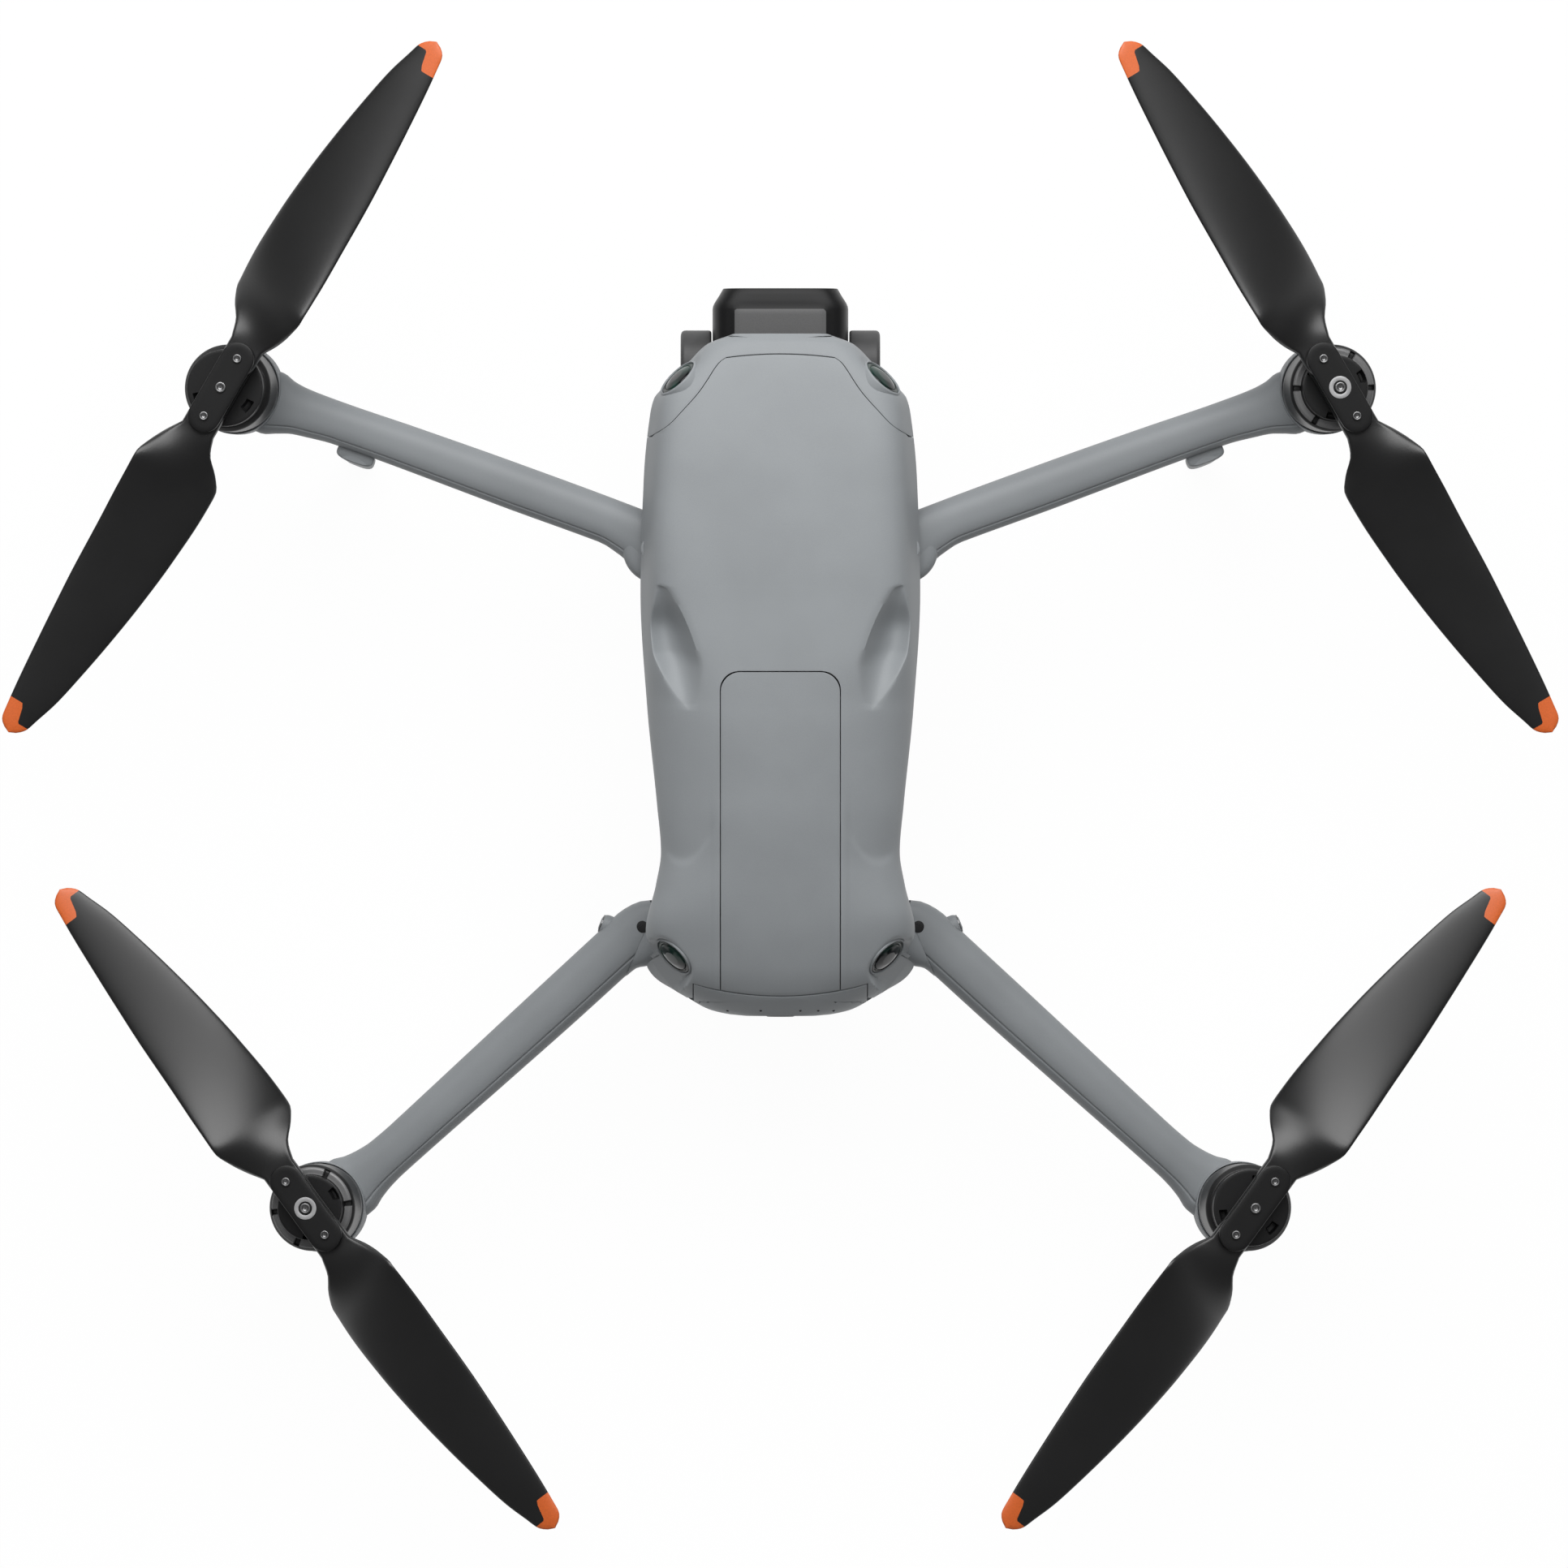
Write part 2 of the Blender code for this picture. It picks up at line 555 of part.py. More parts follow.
def make_lower_shell():
    """Bottom shell: a trough, the narrow neck up to the flange, and the hinge bosses."""
    positions = sorted({position for position, _ in LOWER_HALF_WIDTH} | set(spread(-0.052, 0.066, 0.02)))
    shell = add_object("lower_shell", loft("lower_body", [lower_section(p) for p in positions]), "grey_plastic")
    waist = FRONT_HINGE_XY[1] - KNUCKLE_ROOM - 0.004

    def neck_ring(position, inset, top_gap, bottom):
        wide = NECK_HALF_WIDTH if position < waist - 0.004 else NECK_NOSE_HALF_WIDTH
        half = wide - inset
        top = along(UPPER_RIM, position) - SEAT_GAP + top_gap
        return ((half, position, bottom), (half, position, top), (-half, position, top), (-half, position, bottom))

    shared = [position for position in body_positions() if UPPER_RIM[1][0] < position < waist - 0.008]
    rear = shared[0]
    stops = [*shared, waist - 0.006, waist, NECK_FRONT]
    neck = loft("neck", [neck_ring(position, 0.0, 0.0, SHELF_Z - 0.006) for position in stops])
    combine(shell, "neck", neck, "UNION")
    inner = [lower_section(position, SHELL_WALL, SHELF_Z - SHELL_WALL, LOWER_FLOOR, 0.3)
             for position in spread(-0.0560, 0.0700, 0.0130)]
    combine(shell, "lower_cavity", loft("lower_cavity", inner), "DIFFERENCE")
    inner_stops = [-0.0700, rear, *stops[1:-1], NECK_FRONT - NECK_WALL]
    hollow = loft("neck_hollow", [neck_ring(p, NECK_WALL, 0.004, SHELF_Z - 0.0025) for p in inner_stops])
    combine(shell, "neck_hollow", hollow, "DIFFERENCE")
    half_x, half_y, thick = (size / 2 for size in BELLY_PANEL_SIZE)
    bottom = along(LOWER_BOTTOM, BELLY_PANEL_Y)
    pocket = block("belly_pocket", (-half_x - SEAT_GAP, BELLY_PANEL_Y - half_y - SEAT_GAP, bottom - 0.004),
                   (half_x + SEAT_GAP, BELLY_PANEL_Y + half_y + SEAT_GAP, bottom + 2 * thick))
    combine(shell, "belly_pocket", pocket, "DIFFERENCE")
    for side in (-1, 1):
        name = side_name(side)
        frame, _ = arm_frame(side, FRONT_HINGE_XY, FRONT_MOTOR_XY, FRONT_SEAT_Z)
        top = -ARM_HALF_HEIGHT - SEAT_GAP
        combine(shell, f"front_lower_boss_{name}", rod("front_lower_boss", FRONT_LOWER_BOSS_RADIUS, -0.0225, top, 20),
                "UNION", turn=frame)
        bore = rod("front_lower_bore", HINGE_PIN_RADIUS + PIN_CLEARANCE, top - HINGE_PIN_GRIP, 0.0, 16)
        combine(shell, f"front_lower_bore_{name}", bore, "DIFFERENCE", turn=frame)
        hinge = rear_hinge_frame(side)
        inner_face = -REAR_KNUCKLE_LENGTH / 2 - SEAT_GAP
        boss = rod("rear_boss", REAR_KNUCKLE_RADIUS, inner_face - 0.012, inner_face, 20)
        combine(shell, f"rear_boss_{name}", boss, "UNION", turn=hinge)
        bore = rod("rear_bore", HINGE_PIN_RADIUS + PIN_CLEARANCE, inner_face - HINGE_PIN_GRIP, 0.0, 16)
        combine(shell, f"rear_bore_{name}", bore, "DIFFERENCE", turn=hinge)


def arm_rings(edges, side, length):
    """Sections of an arm from its hinge end to the motor, each between its rear and front edge."""
    rings = []
    for distance, rear, front in reversed(edges):
        half, middle = (front - rear) / 2, side * (front + rear) / 2
        rings.append(oval_ring(length - distance, half, ARM_SLIM_HALF_HEIGHT, middle))
    return rings


def make_front_arm(side, frame, length):
    """Front arm: a rounded bar from the knuckle to the motor cup, bored for its pin."""
    name = side_name(side)
    hinge = add_empty(f"front_{name}_arm_hinge", frame)
    h = ARM_HALF_HEIGHT
    bar = loft("front_arm", arm_rings(FRONT_ARM_EDGES, side, length))
    arm = add_object(f"front_{name}_arm", bar, "grey_plastic", hinge)
    combine(arm, f"front_{name}_knuckle", rod("front_knuckle", KNUCKLE_RADIUS, -h, h), "UNION", hinge)
    cup = rod("motor_cup", MOTOR_CUP_RADIUS, h - MOTOR_CUP_DEPTH, h)
    combine(arm, f"front_{name}_cup", cup, "UNION", hinge, Matrix.Translation((length, 0.0, 0.0)))
    bore = rod("front_arm_bore", HINGE_PIN_RADIUS + PIN_CLEARANCE, -2 * h, 2 * h, 16)
    combine(arm, f"front_{name}_arm_bore", bore, "DIFFERENCE", hinge)
    reach = ARM_HALF_HEIGHT + HINGE_PIN_GRIP
    pin = rod("front_hinge_pin", HINGE_PIN_RADIUS, -reach, reach, PIN_SEGMENTS)
    add_object(f"front_{name}_hinge_pin", pin, "steel", turn=frame)
    make_front_leg(side, frame, length, hinge)
    return hinge


def make_front_leg(side, frame, length, hinge):
    """Landing leg and antenna: a tapered post from the arm's rear side down to the ground."""
    rear_edge = along([(distance, rear) for distance, rear, _ in FRONT_ARM_EDGES], LEG_FROM_MOTOR)
    setback = side * (rear_edge - SEAT_GAP - LEG_TOP_SIZE[1])
    local_top = Vector((length - LEG_FROM_MOTOR, setback, LEG_ROOT_RISE))
    rings = []
    stages = ((0.0, 0.0), (0.12, 0.4), (0.55, 0.75), (1.0, 1.0))
    into_local = frame.inverted()
    for fall, taper in stages:
        half = [a + (b - a) * taper for a, b in zip(LEG_TOP_SIZE, LEG_FOOT_SIZE)]
        ring = []
        for step in range(12):
            angle = 2.0 * math.pi * (step + 0.5) / 12
            x = math.copysign(abs(math.cos(angle)) ** 0.6, math.cos(angle)) * half[0]
            y = math.copysign(abs(math.sin(angle)) ** 0.6, math.sin(angle)) * half[1]
            top = local_top + Vector((x, y, 0.0))
            start = frame @ top
            ring.append(into_local @ Vector((start.x, start.y, start.z * (1.0 - fall))))
        rings.append(ring)
    add_object(f"front_{side_name(side)}_landing_leg", loft("landing_leg", rings), "grey_plastic", hinge)


def make_rear_arm(side, frame, length):
    """Rear arm: a rounded bar from a cross barrel to the motor cup, bored for its pin."""
    name = side_name(side)
    hinge = add_empty(f"rear_{name}_arm_hinge", frame)
    h = ARM_HALF_HEIGHT
    bar = loft("rear_arm", arm_rings(REAR_ARM_EDGES, side, length))
    arm = add_object(f"rear_{name}_arm", bar, "grey_plastic", hinge)
    local = frame.inverted() @ rear_hinge_frame(side)
    half = REAR_KNUCKLE_LENGTH / 2
    combine(arm, f"rear_{name}_knuckle", rod("rear_knuckle", REAR_KNUCKLE_RADIUS, -half, half), "UNION", hinge, local)
    cup = rod("motor_cup", MOTOR_CUP_RADIUS, h - MOTOR_CUP_DEPTH, h)
    combine(arm, f"rear_{name}_cup", cup, "UNION", hinge, Matrix.Translation((length, 0.0, 0.0)))
    bore = rod("rear_arm_bore", HINGE_PIN_RADIUS + PIN_CLEARANCE, -2 * half, 2 * half, 16)
    combine(arm, f"rear_{name}_arm_bore", bore, "DIFFERENCE", hinge, local)
    inner = -half - HINGE_PIN_GRIP
    add_object(f"rear_{name}_hinge_pin", rod("rear_hinge_pin", HINGE_PIN_RADIUS, inner, half, 16), "steel",
               turn=rear_hinge_frame(side))
    return hinge


def blade_mesh(turn_sign):
    """Blade about its pivot: X out along the span, leading edge towards turn_sign times Y, raised by the pitch."""
    rings = []
    tip = BLADE_STATIONS[-1][0]
    for radius, lead, trail in BLADE_STATIONS:
        share = (radius - BLADE_STATIONS[0][0]) / (tip - BLADE_STATIONS[0][0])
        ease = min(1.0, share / 0.16)
        pitch = math.atan(BLADE_PITCH / (2.0 * math.pi * radius)) * ease * ease * (3.0 - 2.0 * ease)
        thick = 0.0026 - 0.0016 * share ** 0.5
        chord = lead + trail
        ring = []
        for side, fractions in ((1, (0.0, 0.15, 0.4, 0.7, 1.0)), (-1, (0.85, 0.55, 0.3, 0.08))):
            for fraction in fractions:
                y = lead - chord * fraction
                bulge = 2.0 * math.sqrt(max(fraction * (1.0 - fraction), 0.0)) * (1.15 - 0.3 * fraction)
                height = thick * (0.5 * side * (0.25 + 0.75 * bulge)) + chord * 0.03 * bulge
                if fraction in (0.0, 1.0):
                    height = 0.0
                ring.append((radius - HUB_PIVOT_RADIUS, turn_sign * (y - height * math.sin(pitch)),
                             y * math.tan(pitch) + height * math.cos(pitch)))
        rings.append(ring)
    inner = [(0.0, y * 0.5, z * 0.5) for _, y, z in rings[0]]
    return loft("blade", [inner, *rings])


def propeller_meshes():
    """Shared meshes: stator, bell, hub, and the blades of both turning senses."""
    hollow = SHAFT_RADIUS + PIN_CLEARANCE
    stator = turned("stator", (
        (0.0, SEAT_GAP), (BELL_RADIUS, SEAT_GAP), (BELL_RADIUS, BELL_BOTTOM - SEAT_GAP - 0.0004),
        (STATOR_RADIUS, BELL_BOTTOM), (STATOR_RADIUS, STATOR_TOP), (hollow, STATOR_TOP), (hollow, 0.0030), (0.0, 0.0030)))
    roof = BELL_TOP - BELL_WALL
    inner = BELL_RADIUS - BELL_WALL
    bell = turned("bell", (
        (0.0, 0.0034), (SHAFT_RADIUS, 0.0034), (SHAFT_RADIUS, roof), (inner, roof), (inner, BELL_BOTTOM),
        (BELL_RADIUS, BELL_BOTTOM), (BELL_RADIUS, BELL_TOP - 0.0012), (BELL_RADIUS - 0.0012, BELL_TOP),
        (MOUNT_RADIUS, BELL_TOP), (MOUNT_RADIUS, MOUNT_TOP), (0.0, MOUNT_TOP)))
    return {"stator": stator, "bell": bell, "hub": hub_mesh(), 1: blade_with_eye(1), -1: blade_with_eye(-1)}


def stadium(half_spacing, radius, steps=8):
    """Plan of a plate with round ends along X."""
    outline = []
    for sign, start in ((1, -math.pi / 2), (-1, math.pi / 2)):
        for step in range(steps + 1):
            angle = start + math.pi * step / steps
            outline.append((sign * half_spacing + radius * math.cos(angle), radius * math.sin(angle)))
    return outline


def blade_level():
    """Height of the blade roots' middle above the motor seat."""
    return MOUNT_TOP + SEAT_GAP + PLATE_THICKNESS + SEAT_GAP + BLADE_ROOT_THICKNESS / 2


def hub_mesh():
    """Clevis hub about the blade level: two plates, a core, two pivot pins and the screw heads."""
    inner = BLADE_ROOT_THICKNESS / 2 + SEAT_GAP
    outer = inner + PLATE_THICKNESS
    plate = stadium(HUB_PIVOT_RADIUS, HUB_PLATE_HALF_WIDTH)
    hub = add_object("hub_work", prism("hub_top", plate, inner, outer), None)
    combine(hub, "hub_bottom", prism("hub_bottom", plate, -outer, -inner), "UNION")
    width = HUB_PLATE_HALF_WIDTH - 0.0006
    core = block("hub_core", (-HUB_CORE_HALF_LENGTH, -width, -inner - 0.0005), (HUB_CORE_HALF_LENGTH, width, inner + 0.0005))
    combine(hub, "hub_core", core, "UNION")
    for index, x in enumerate((-HUB_PIVOT_RADIUS, 0.0, HUB_PIVOT_RADIUS)):
        low = -inner - 0.0005 if x else inner
        pin = turned("pivot_pin", ((0.0, low), (PIVOT_PIN_RADIUS, low), (PIVOT_PIN_RADIUS, outer + SCREW_HEAD_HEIGHT),
                                   (0.0, outer + SCREW_HEAD_HEIGHT)), 12)
        combine(hub, f"pivot_pin_{index}", pin, "UNION", turn=Matrix.Translation((x, 0.0, 0.0)))
    return baked_once(hub)


def blade_with_eye(turn_sign):
    """The blade joined to its pivot eye and bored for the pin."""
    blade = add_object("blade_work", blade_mesh(turn_sign), None)
    half = BLADE_ROOT_THICKNESS / 2
    combine(blade, "blade_eye", rod("blade_eye", BLADE_EYE_RADIUS, -half, half, 20), "UNION")
    bore = rod("blade_bore", PIVOT_PIN_RADIUS + PIN_CLEARANCE, -2 * half, 2 * half, 12)
    combine(blade, "blade_bore", bore, "DIFFERENCE")
    return baked_once(blade)


def baked_once(work):
    """Bake a work object's mesh and remove it with its tools."""
    bpy.context.view_layer.update()
    mesh = baked(work)
    mesh.shade_smooth()
    mesh.set_sharp_from_angle(angle=math.radians(32.0))
    tools = [modifier.object for modifier in work.modifiers]
    for spent in [work, *tools]:
        bpy.data.objects.remove(spent)
    return mesh


def make_rotor(end, side, hinge, frame, length, heading, meshes):
    """Stator on the arm, bell and hub on the spin axis, and two blades on their pivots."""
    prefix = f"{end}_{side_name(side)}"
    seat = Matrix.Translation((length, 0.0, ARM_HALF_HEIGHT))
    spin = add_empty(f"{prefix}_spin_axis", seat, hinge)
    add_object(f"{prefix}_motor_stator", meshes["stator"], "aluminium", spin)
    add_object(f"{prefix}_motor_bell", meshes["bell"], "motor_metal", spin)
    axis = rotor_axis(side)
    plan = Vector((-side * math.cos(heading), math.sin(heading), 0.0))
    plan.z = -plan.x * axis.x / axis.z
    local = frame.to_3x3().inverted() @ plan
    angle = math.atan2(local.y, local.x)
    level = Matrix.Translation((0.0, 0.0, blade_level())) @ Matrix.Rotation(angle, 4, "Z")
    add_object(f"{prefix}_propeller_hub", meshes["hub"], "black_blade", spin, level)
    sense = rotor_sense(end, side)
    for letter, swing in (("a", 0.0), ("b", math.pi)):
        pivot = level @ Matrix.Rotation(swing, 4, "Z") @ Matrix.Translation((HUB_PIVOT_RADIUS, 0.0, 0.0))
        holder = add_empty(f"{prefix}_blade_{letter}_pivot", pivot, spin)
        add_object(f"{prefix}_blade_{letter}", meshes[sense], "black_blade", holder)


def rotor_sense(end, side):
    """Leading edge side: +1 where the rotor turns anticlockwise from above."""
    return side if end == "front" else -side


def make_gimbal():
    """Damper plate under the nose, yaw arm, roll yoke with its two pods, camera and lenses."""
    half_x, half_y = DAMPER_PLATE_HALF
    plate = block("damper_plate", (-half_x, YAW_Y - half_y, DAMPER_PLATE_BOTTOM), (half_x, YAW_Y + half_y, DAMPER_PLATE_TOP))
    add_object("gimbal_damper_plate", plate, "dark_plastic")
    yaw = add_empty("gimbal_yaw_axis", Matrix.Translation((0.0, YAW_Y, 0.0)))
    disc = rod("yaw_disc", YAW_DISC_RADIUS, YAW_DISC_BOTTOM, DAMPER_PLATE_BOTTOM - SEAT_GAP)
    yaw_arm = add_object("gimbal_yaw_arm", disc, "dark_plastic", yaw)
    low, high = (y - YAW_Y for y in YAW_STEM_Y)
    stem = block("yaw_stem", (-YAW_STEM_HALF_WIDTH, low, ROLL_Z - YAW_STEM_HALF_WIDTH),
                 (YAW_STEM_HALF_WIDTH, high, DAMPER_PLATE_BOTTOM - 0.0010))
    combine(yaw_arm, "yaw_stem", stem, "UNION", yaw)
    bridge = block("yaw_bridge", (-YAW_STEM_HALF_WIDTH + 0.0005, low + 0.001, YAW_DISC_BOTTOM + 0.0006),
                   (YAW_STEM_HALF_WIDTH - 0.0005, 0.0, DAMPER_PLATE_BOTTOM - 0.0016))
    combine(yaw_arm, "yaw_bridge", bridge, "UNION", yaw)
    along_y = Matrix.Rotation(-math.pi / 2, 4, "X")
    motor = rod("roll_motor", ROLL_MOTOR_RADIUS, high - 0.001, ROLL_MOTOR_FRONT - YAW_Y)
    combine(yaw_arm, "roll_motor", motor, "UNION", yaw, Matrix.Translation((0.0, 0.0, ROLL_Z)) @ along_y)
    roll = add_empty("gimbal_roll_axis", Matrix.Translation((0.0, YAW_Y, ROLL_Z)))
    back = ROLL_MOTOR_FRONT + SEAT_GAP - YAW_Y
    front = TILT_Y - YAW_Y
    outline = [(YOKE_OUTER - 0.0012, back), (YOKE_OUTER - 0.0012, front), (YOKE_INNER + 0.0012, front),
               (YOKE_INNER + 0.0012, back + YOKE_PLATE_DEPTH)]
    outline += [(-x, y) for x, y in reversed(outline)]
    yoke_mesh = prism("roll_yoke", outline, -YOKE_ARM_HALF_HEIGHT, YOKE_ARM_HALF_HEIGHT)
    yoke = add_object("gimbal_roll_yoke", yoke_mesh, "dark_plastic", roll)
    along_x = Matrix.Rotation(math.pi / 2, 4, "Y")
    for side in (-1, 1):
        near, far = sorted((side * YOKE_INNER, side * YOKE_OUTER))
        pod = rod("tilt_pod", POD_RADIUS, near, far)
        combine(yoke, f"tilt_pod_{side_name(side)}", pod, "UNION", roll, Matrix.Translation((0.0, front, 0.0)) @ along_x)
    tilt = add_empty("gimbal_tilt_axis", Matrix.Translation((0.0, TILT_Y, ROLL_Z)))
    make_camera(tilt)


def make_camera(tilt):
    """Camera body about the tilt axis with a chamfered face, and two lens barrels set in it."""
    face = CAMERA_FRONT - TILT_Y
    back = CAMERA_BACK - TILT_Y
    rings = []
    for y, half_x, half_z in ((back, CAMERA_HALF_WIDTH - 0.004, CAMERA_HALF_HEIGHT - 0.005),
                              (back + 0.006, CAMERA_HALF_WIDTH, CAMERA_HALF_HEIGHT),
                              (face - CAMERA_CHAMFER_DEPTH, CAMERA_HALF_WIDTH, CAMERA_HALF_HEIGHT),
                              (face, CAMERA_FACE_HALF_WIDTH, CAMERA_HALF_HEIGHT - 0.001)):
        ring = oval_ring(y, half_x, half_z, count=24)
        rings.append([(across, position, up) for position, across, up in ring])
    camera = add_object("camera_housing", loft("camera_housing", rings), "dark_plastic", tilt)
    along_y = Matrix.Rotation(-math.pi / 2, 4, "X")
    for name, (x, z, radius) in (("wide_lens", WIDE_LENS), ("tele_lens", TELE_LENS)):
        at = Matrix.Translation((x, face, z)) @ along_y
        bore = rod(f"{name}_bore", radius + SEAT_GAP, -LENS_DEPTH - SEAT_GAP, 0.004)
        combine(camera, f"{name}_bore", bore, "DIFFERENCE", tilt, at)
        profile = ((0.0, -LENS_DEPTH), (radius, -LENS_DEPTH), (radius, -0.0002), (radius * 0.78, -0.0002),
                   (radius * 0.66, -0.0024), (radius * 0.4, -0.0014), (0.0, -0.0010))
        add_object(name, turned(name, profile), "lens_glass", tilt, at)


def make_battery():
    """Battery case with its exposed panel and end plate, cells, power button and side buckles."""
    slide = add_empty("battery_slide_axis", Matrix.Identity(4))
    solid = loft("battery_top", [upper_section(position) for position in body_positions()])
    case = add_object("battery_case", solid, "grey_plastic", slide)
    floor = UPPER_RIM[0][1] + SEAT_GAP
    combine(case, "battery_plan", prism("battery_plan", battery_outline(0.0), floor, 0.12), "INTERSECT", slide)
    main = block("battery_block", (-BATTERY_HALF_WIDTH, END_PLATE_SEAM - 0.0010, floor + 0.0004),
                 (BATTERY_HALF_WIDTH, BATTERY_FRONT - 0.0010, BATTERY_BLOCK_TOP))
    combine(case, "battery_block", main, "UNION", slide)
    wall = BATTERY_WALL
    front = BATTERY_FRONT - 0.0010 - wall
    rear = CAVITY_REAR + 0.0040
    inner_half = BATTERY_HALF_WIDTH - wall
    room = block("cell_room", (-inner_half, rear, floor - 0.01), (inner_half, front, BATTERY_BLOCK_TOP - wall))
    combine(case, "cell_room", room, "DIFFERENCE", slide)
    gap = SEAT_GAP
    cells = block("battery_cells", (-inner_half + gap, rear + gap, floor + 0.0004),
                  (inner_half - gap, front - gap, BATTERY_BLOCK_TOP - wall - gap))
    add_object("battery_cells", cells, "cell_wrap", slide)
    tail = BODY_HALF_WIDTH[0][0]
    into_tail = Matrix.Translation((0.0, tail, POWER_BUTTON_Z)) @ Matrix.Rotation(math.pi / 2, 4, "X")
    bore = rod("power_button_bore", POWER_BUTTON_RADIUS + gap, -0.0035, 0.01)
    combine(case, "power_button_bore", bore, "DIFFERENCE", slide, into_tail)
    low = -0.0035 + gap + POWER_BUTTON_TRAVEL
    button = rod("power_button", POWER_BUTTON_RADIUS, low, 0.0008)
    add_object("power_button", button, "dark_plastic", slide, into_tail)
    for side in (-1, 1):
        make_buckle(side, case, slide)


def make_buckle(side, case, slide):
    """Squeeze buckle set in the battery's flank near the tail; it travels inward."""
    half_y, half_z = BUCKLE_SIZE[1] / 2, BUCKLE_SIZE[2] / 2
    inner = BATTERY_HALF_WIDTH - BUCKLE_TRAVEL - SEAT_GAP - 0.0006
    name = side_name(side)
    pocket_x = sorted((side * inner, side * (BATTERY_HALF_WIDTH + 0.005)))
    pocket = block("buckle_pocket", (pocket_x[0], BUCKLE_Y - half_y - SEAT_GAP, BUCKLE_Z - half_z - SEAT_GAP),
                   (pocket_x[1], BUCKLE_Y + half_y + SEAT_GAP, BUCKLE_Z + half_z + SEAT_GAP))
    combine(case, f"buckle_pocket_{name}", pocket, "DIFFERENCE", slide)
    start = inner + SEAT_GAP + BUCKLE_TRAVEL
    body_x = sorted((side * start, side * (start + BUCKLE_SIZE[0])))
    body = block("buckle", (body_x[0], BUCKLE_Y - half_y, BUCKLE_Z - half_z), (body_x[1], BUCKLE_Y + half_y, BUCKLE_Z + half_z))
    add_object(f"battery_buckle_{name}", body, "dark_plastic", slide)


def make_insides():
    """Main board on the lower shell's floor, heat sink and fan on it, belly panel and rear feet below."""
    floor = along(LOWER_BOTTOM, BOARD_Y) + LOWER_FLOOR + SEAT_GAP
    half_x, half_y, thick = BOARD_SIZE[0] / 2, BOARD_SIZE[1] / 2, BOARD_SIZE[2]
    board = block("mainboard", (-half_x, BOARD_Y - half_y, floor), (half_x, BOARD_Y + half_y, floor + thick))
    add_object("mainboard", board, "board_green")
    seat = floor + thick + SEAT_GAP
    half_x, half_y = SINK_SIZE[0] / 2, SINK_SIZE[1] / 2
    sink = add_object("heat_sink", block("heat_sink", (-half_x, SINK_Y - half_y, seat),
                                         (half_x, SINK_Y + half_y, seat + SINK_SIZE[2])), "aluminium")
    count = int((SINK_SIZE[0] - SINK_FIN_PITCH + SINK_FIN_GAP) / SINK_FIN_PITCH)
    for index in range(count):
        middle = (index - (count - 1) / 2) * SINK_FIN_PITCH
        slot = block("fin_gap", (middle - SINK_FIN_GAP / 2, SINK_Y - SINK_SIZE[1], seat + 0.0025),
                     (middle + SINK_FIN_GAP / 2, SINK_Y + SINK_SIZE[1], seat + 2 * SINK_SIZE[2]))
        combine(sink, f"fin_gap_{index}", slot, "DIFFERENCE")
    make_fan(seat)
    half_x, half_y, thick = BELLY_PANEL_SIZE[0] / 2, BELLY_PANEL_SIZE[1] / 2, BELLY_PANEL_SIZE[2]
    bottom = along(LOWER_BOTTOM, BELLY_PANEL_Y)
    top = bottom + thick - SEAT_GAP
    panel = block("belly_panel", (-half_x, BELLY_PANEL_Y - half_y, top - thick), (half_x, BELLY_PANEL_Y + half_y, top))
    add_object("belly_sensor_panel", panel, "lens_glass")
    foot_top = along(LOWER_BOTTOM, REAR_FOOT_XY[1]) - SEAT_GAP
    profile = ((0.0, 0.0), (REAR_FOOT_RADIUS * 0.75, 0.0), (REAR_FOOT_RADIUS, foot_top), (0.0, foot_top))
    foot = turned("rear_foot", profile, 20)
    for side in (-1, 1):
        at = Matrix.Translation((side * REAR_FOOT_XY[0], REAR_FOOT_XY[1], 0.0))
        add_object(f"rear_{side_name(side)}_foot", foot, "rubber", turn=at)


def make_fan(seat):
    """Cooling fan: an open round frame with a spindle, and a vaned rotor on it."""
    spindle = 0.0018
    inner = FAN_FRAME_RADIUS - 0.0012
    frame_profile = ((0.0, seat), (FAN_FRAME_RADIUS, seat), (FAN_FRAME_RADIUS, seat + FAN_FRAME_HEIGHT),
                     (inner, seat + FAN_FRAME_HEIGHT), (inner, seat + 0.0012), (spindle, seat + 0.0012),
                     (spindle, seat + FAN_FRAME_HEIGHT - 0.001), (0.0, seat + FAN_FRAME_HEIGHT - 0.001))
    axis = add_empty("fan_axis", Matrix.Translation((0.0, FAN_Y, 0.0)))
    add_object("fan_frame", turned("fan_frame", frame_profile, 24), "dark_plastic", axis)
    low = seat + 0.0012 + SEAT_GAP
    high = seat + FAN_FRAME_HEIGHT - 0.0012
    bore = spindle + PIN_CLEARANCE
    hub = turned("fan_rotor", ((bore, low), (0.0055, low), (0.0055, high), (bore, high)), 20)
    rotor = add_object("fan_rotor", hub, "dark_plastic", axis)
    for index in range(FAN_VANES):
        vane = block("fan_vane", (0.0048, -0.0005, low + 0.0004), (FAN_ROTOR_RADIUS, 0.0005, high - 0.0004))
        combine(rotor, f"fan_vane_{index}", vane, "UNION", axis, Matrix.Rotation(2 * math.pi * index / FAN_VANES, 4, "Z"))


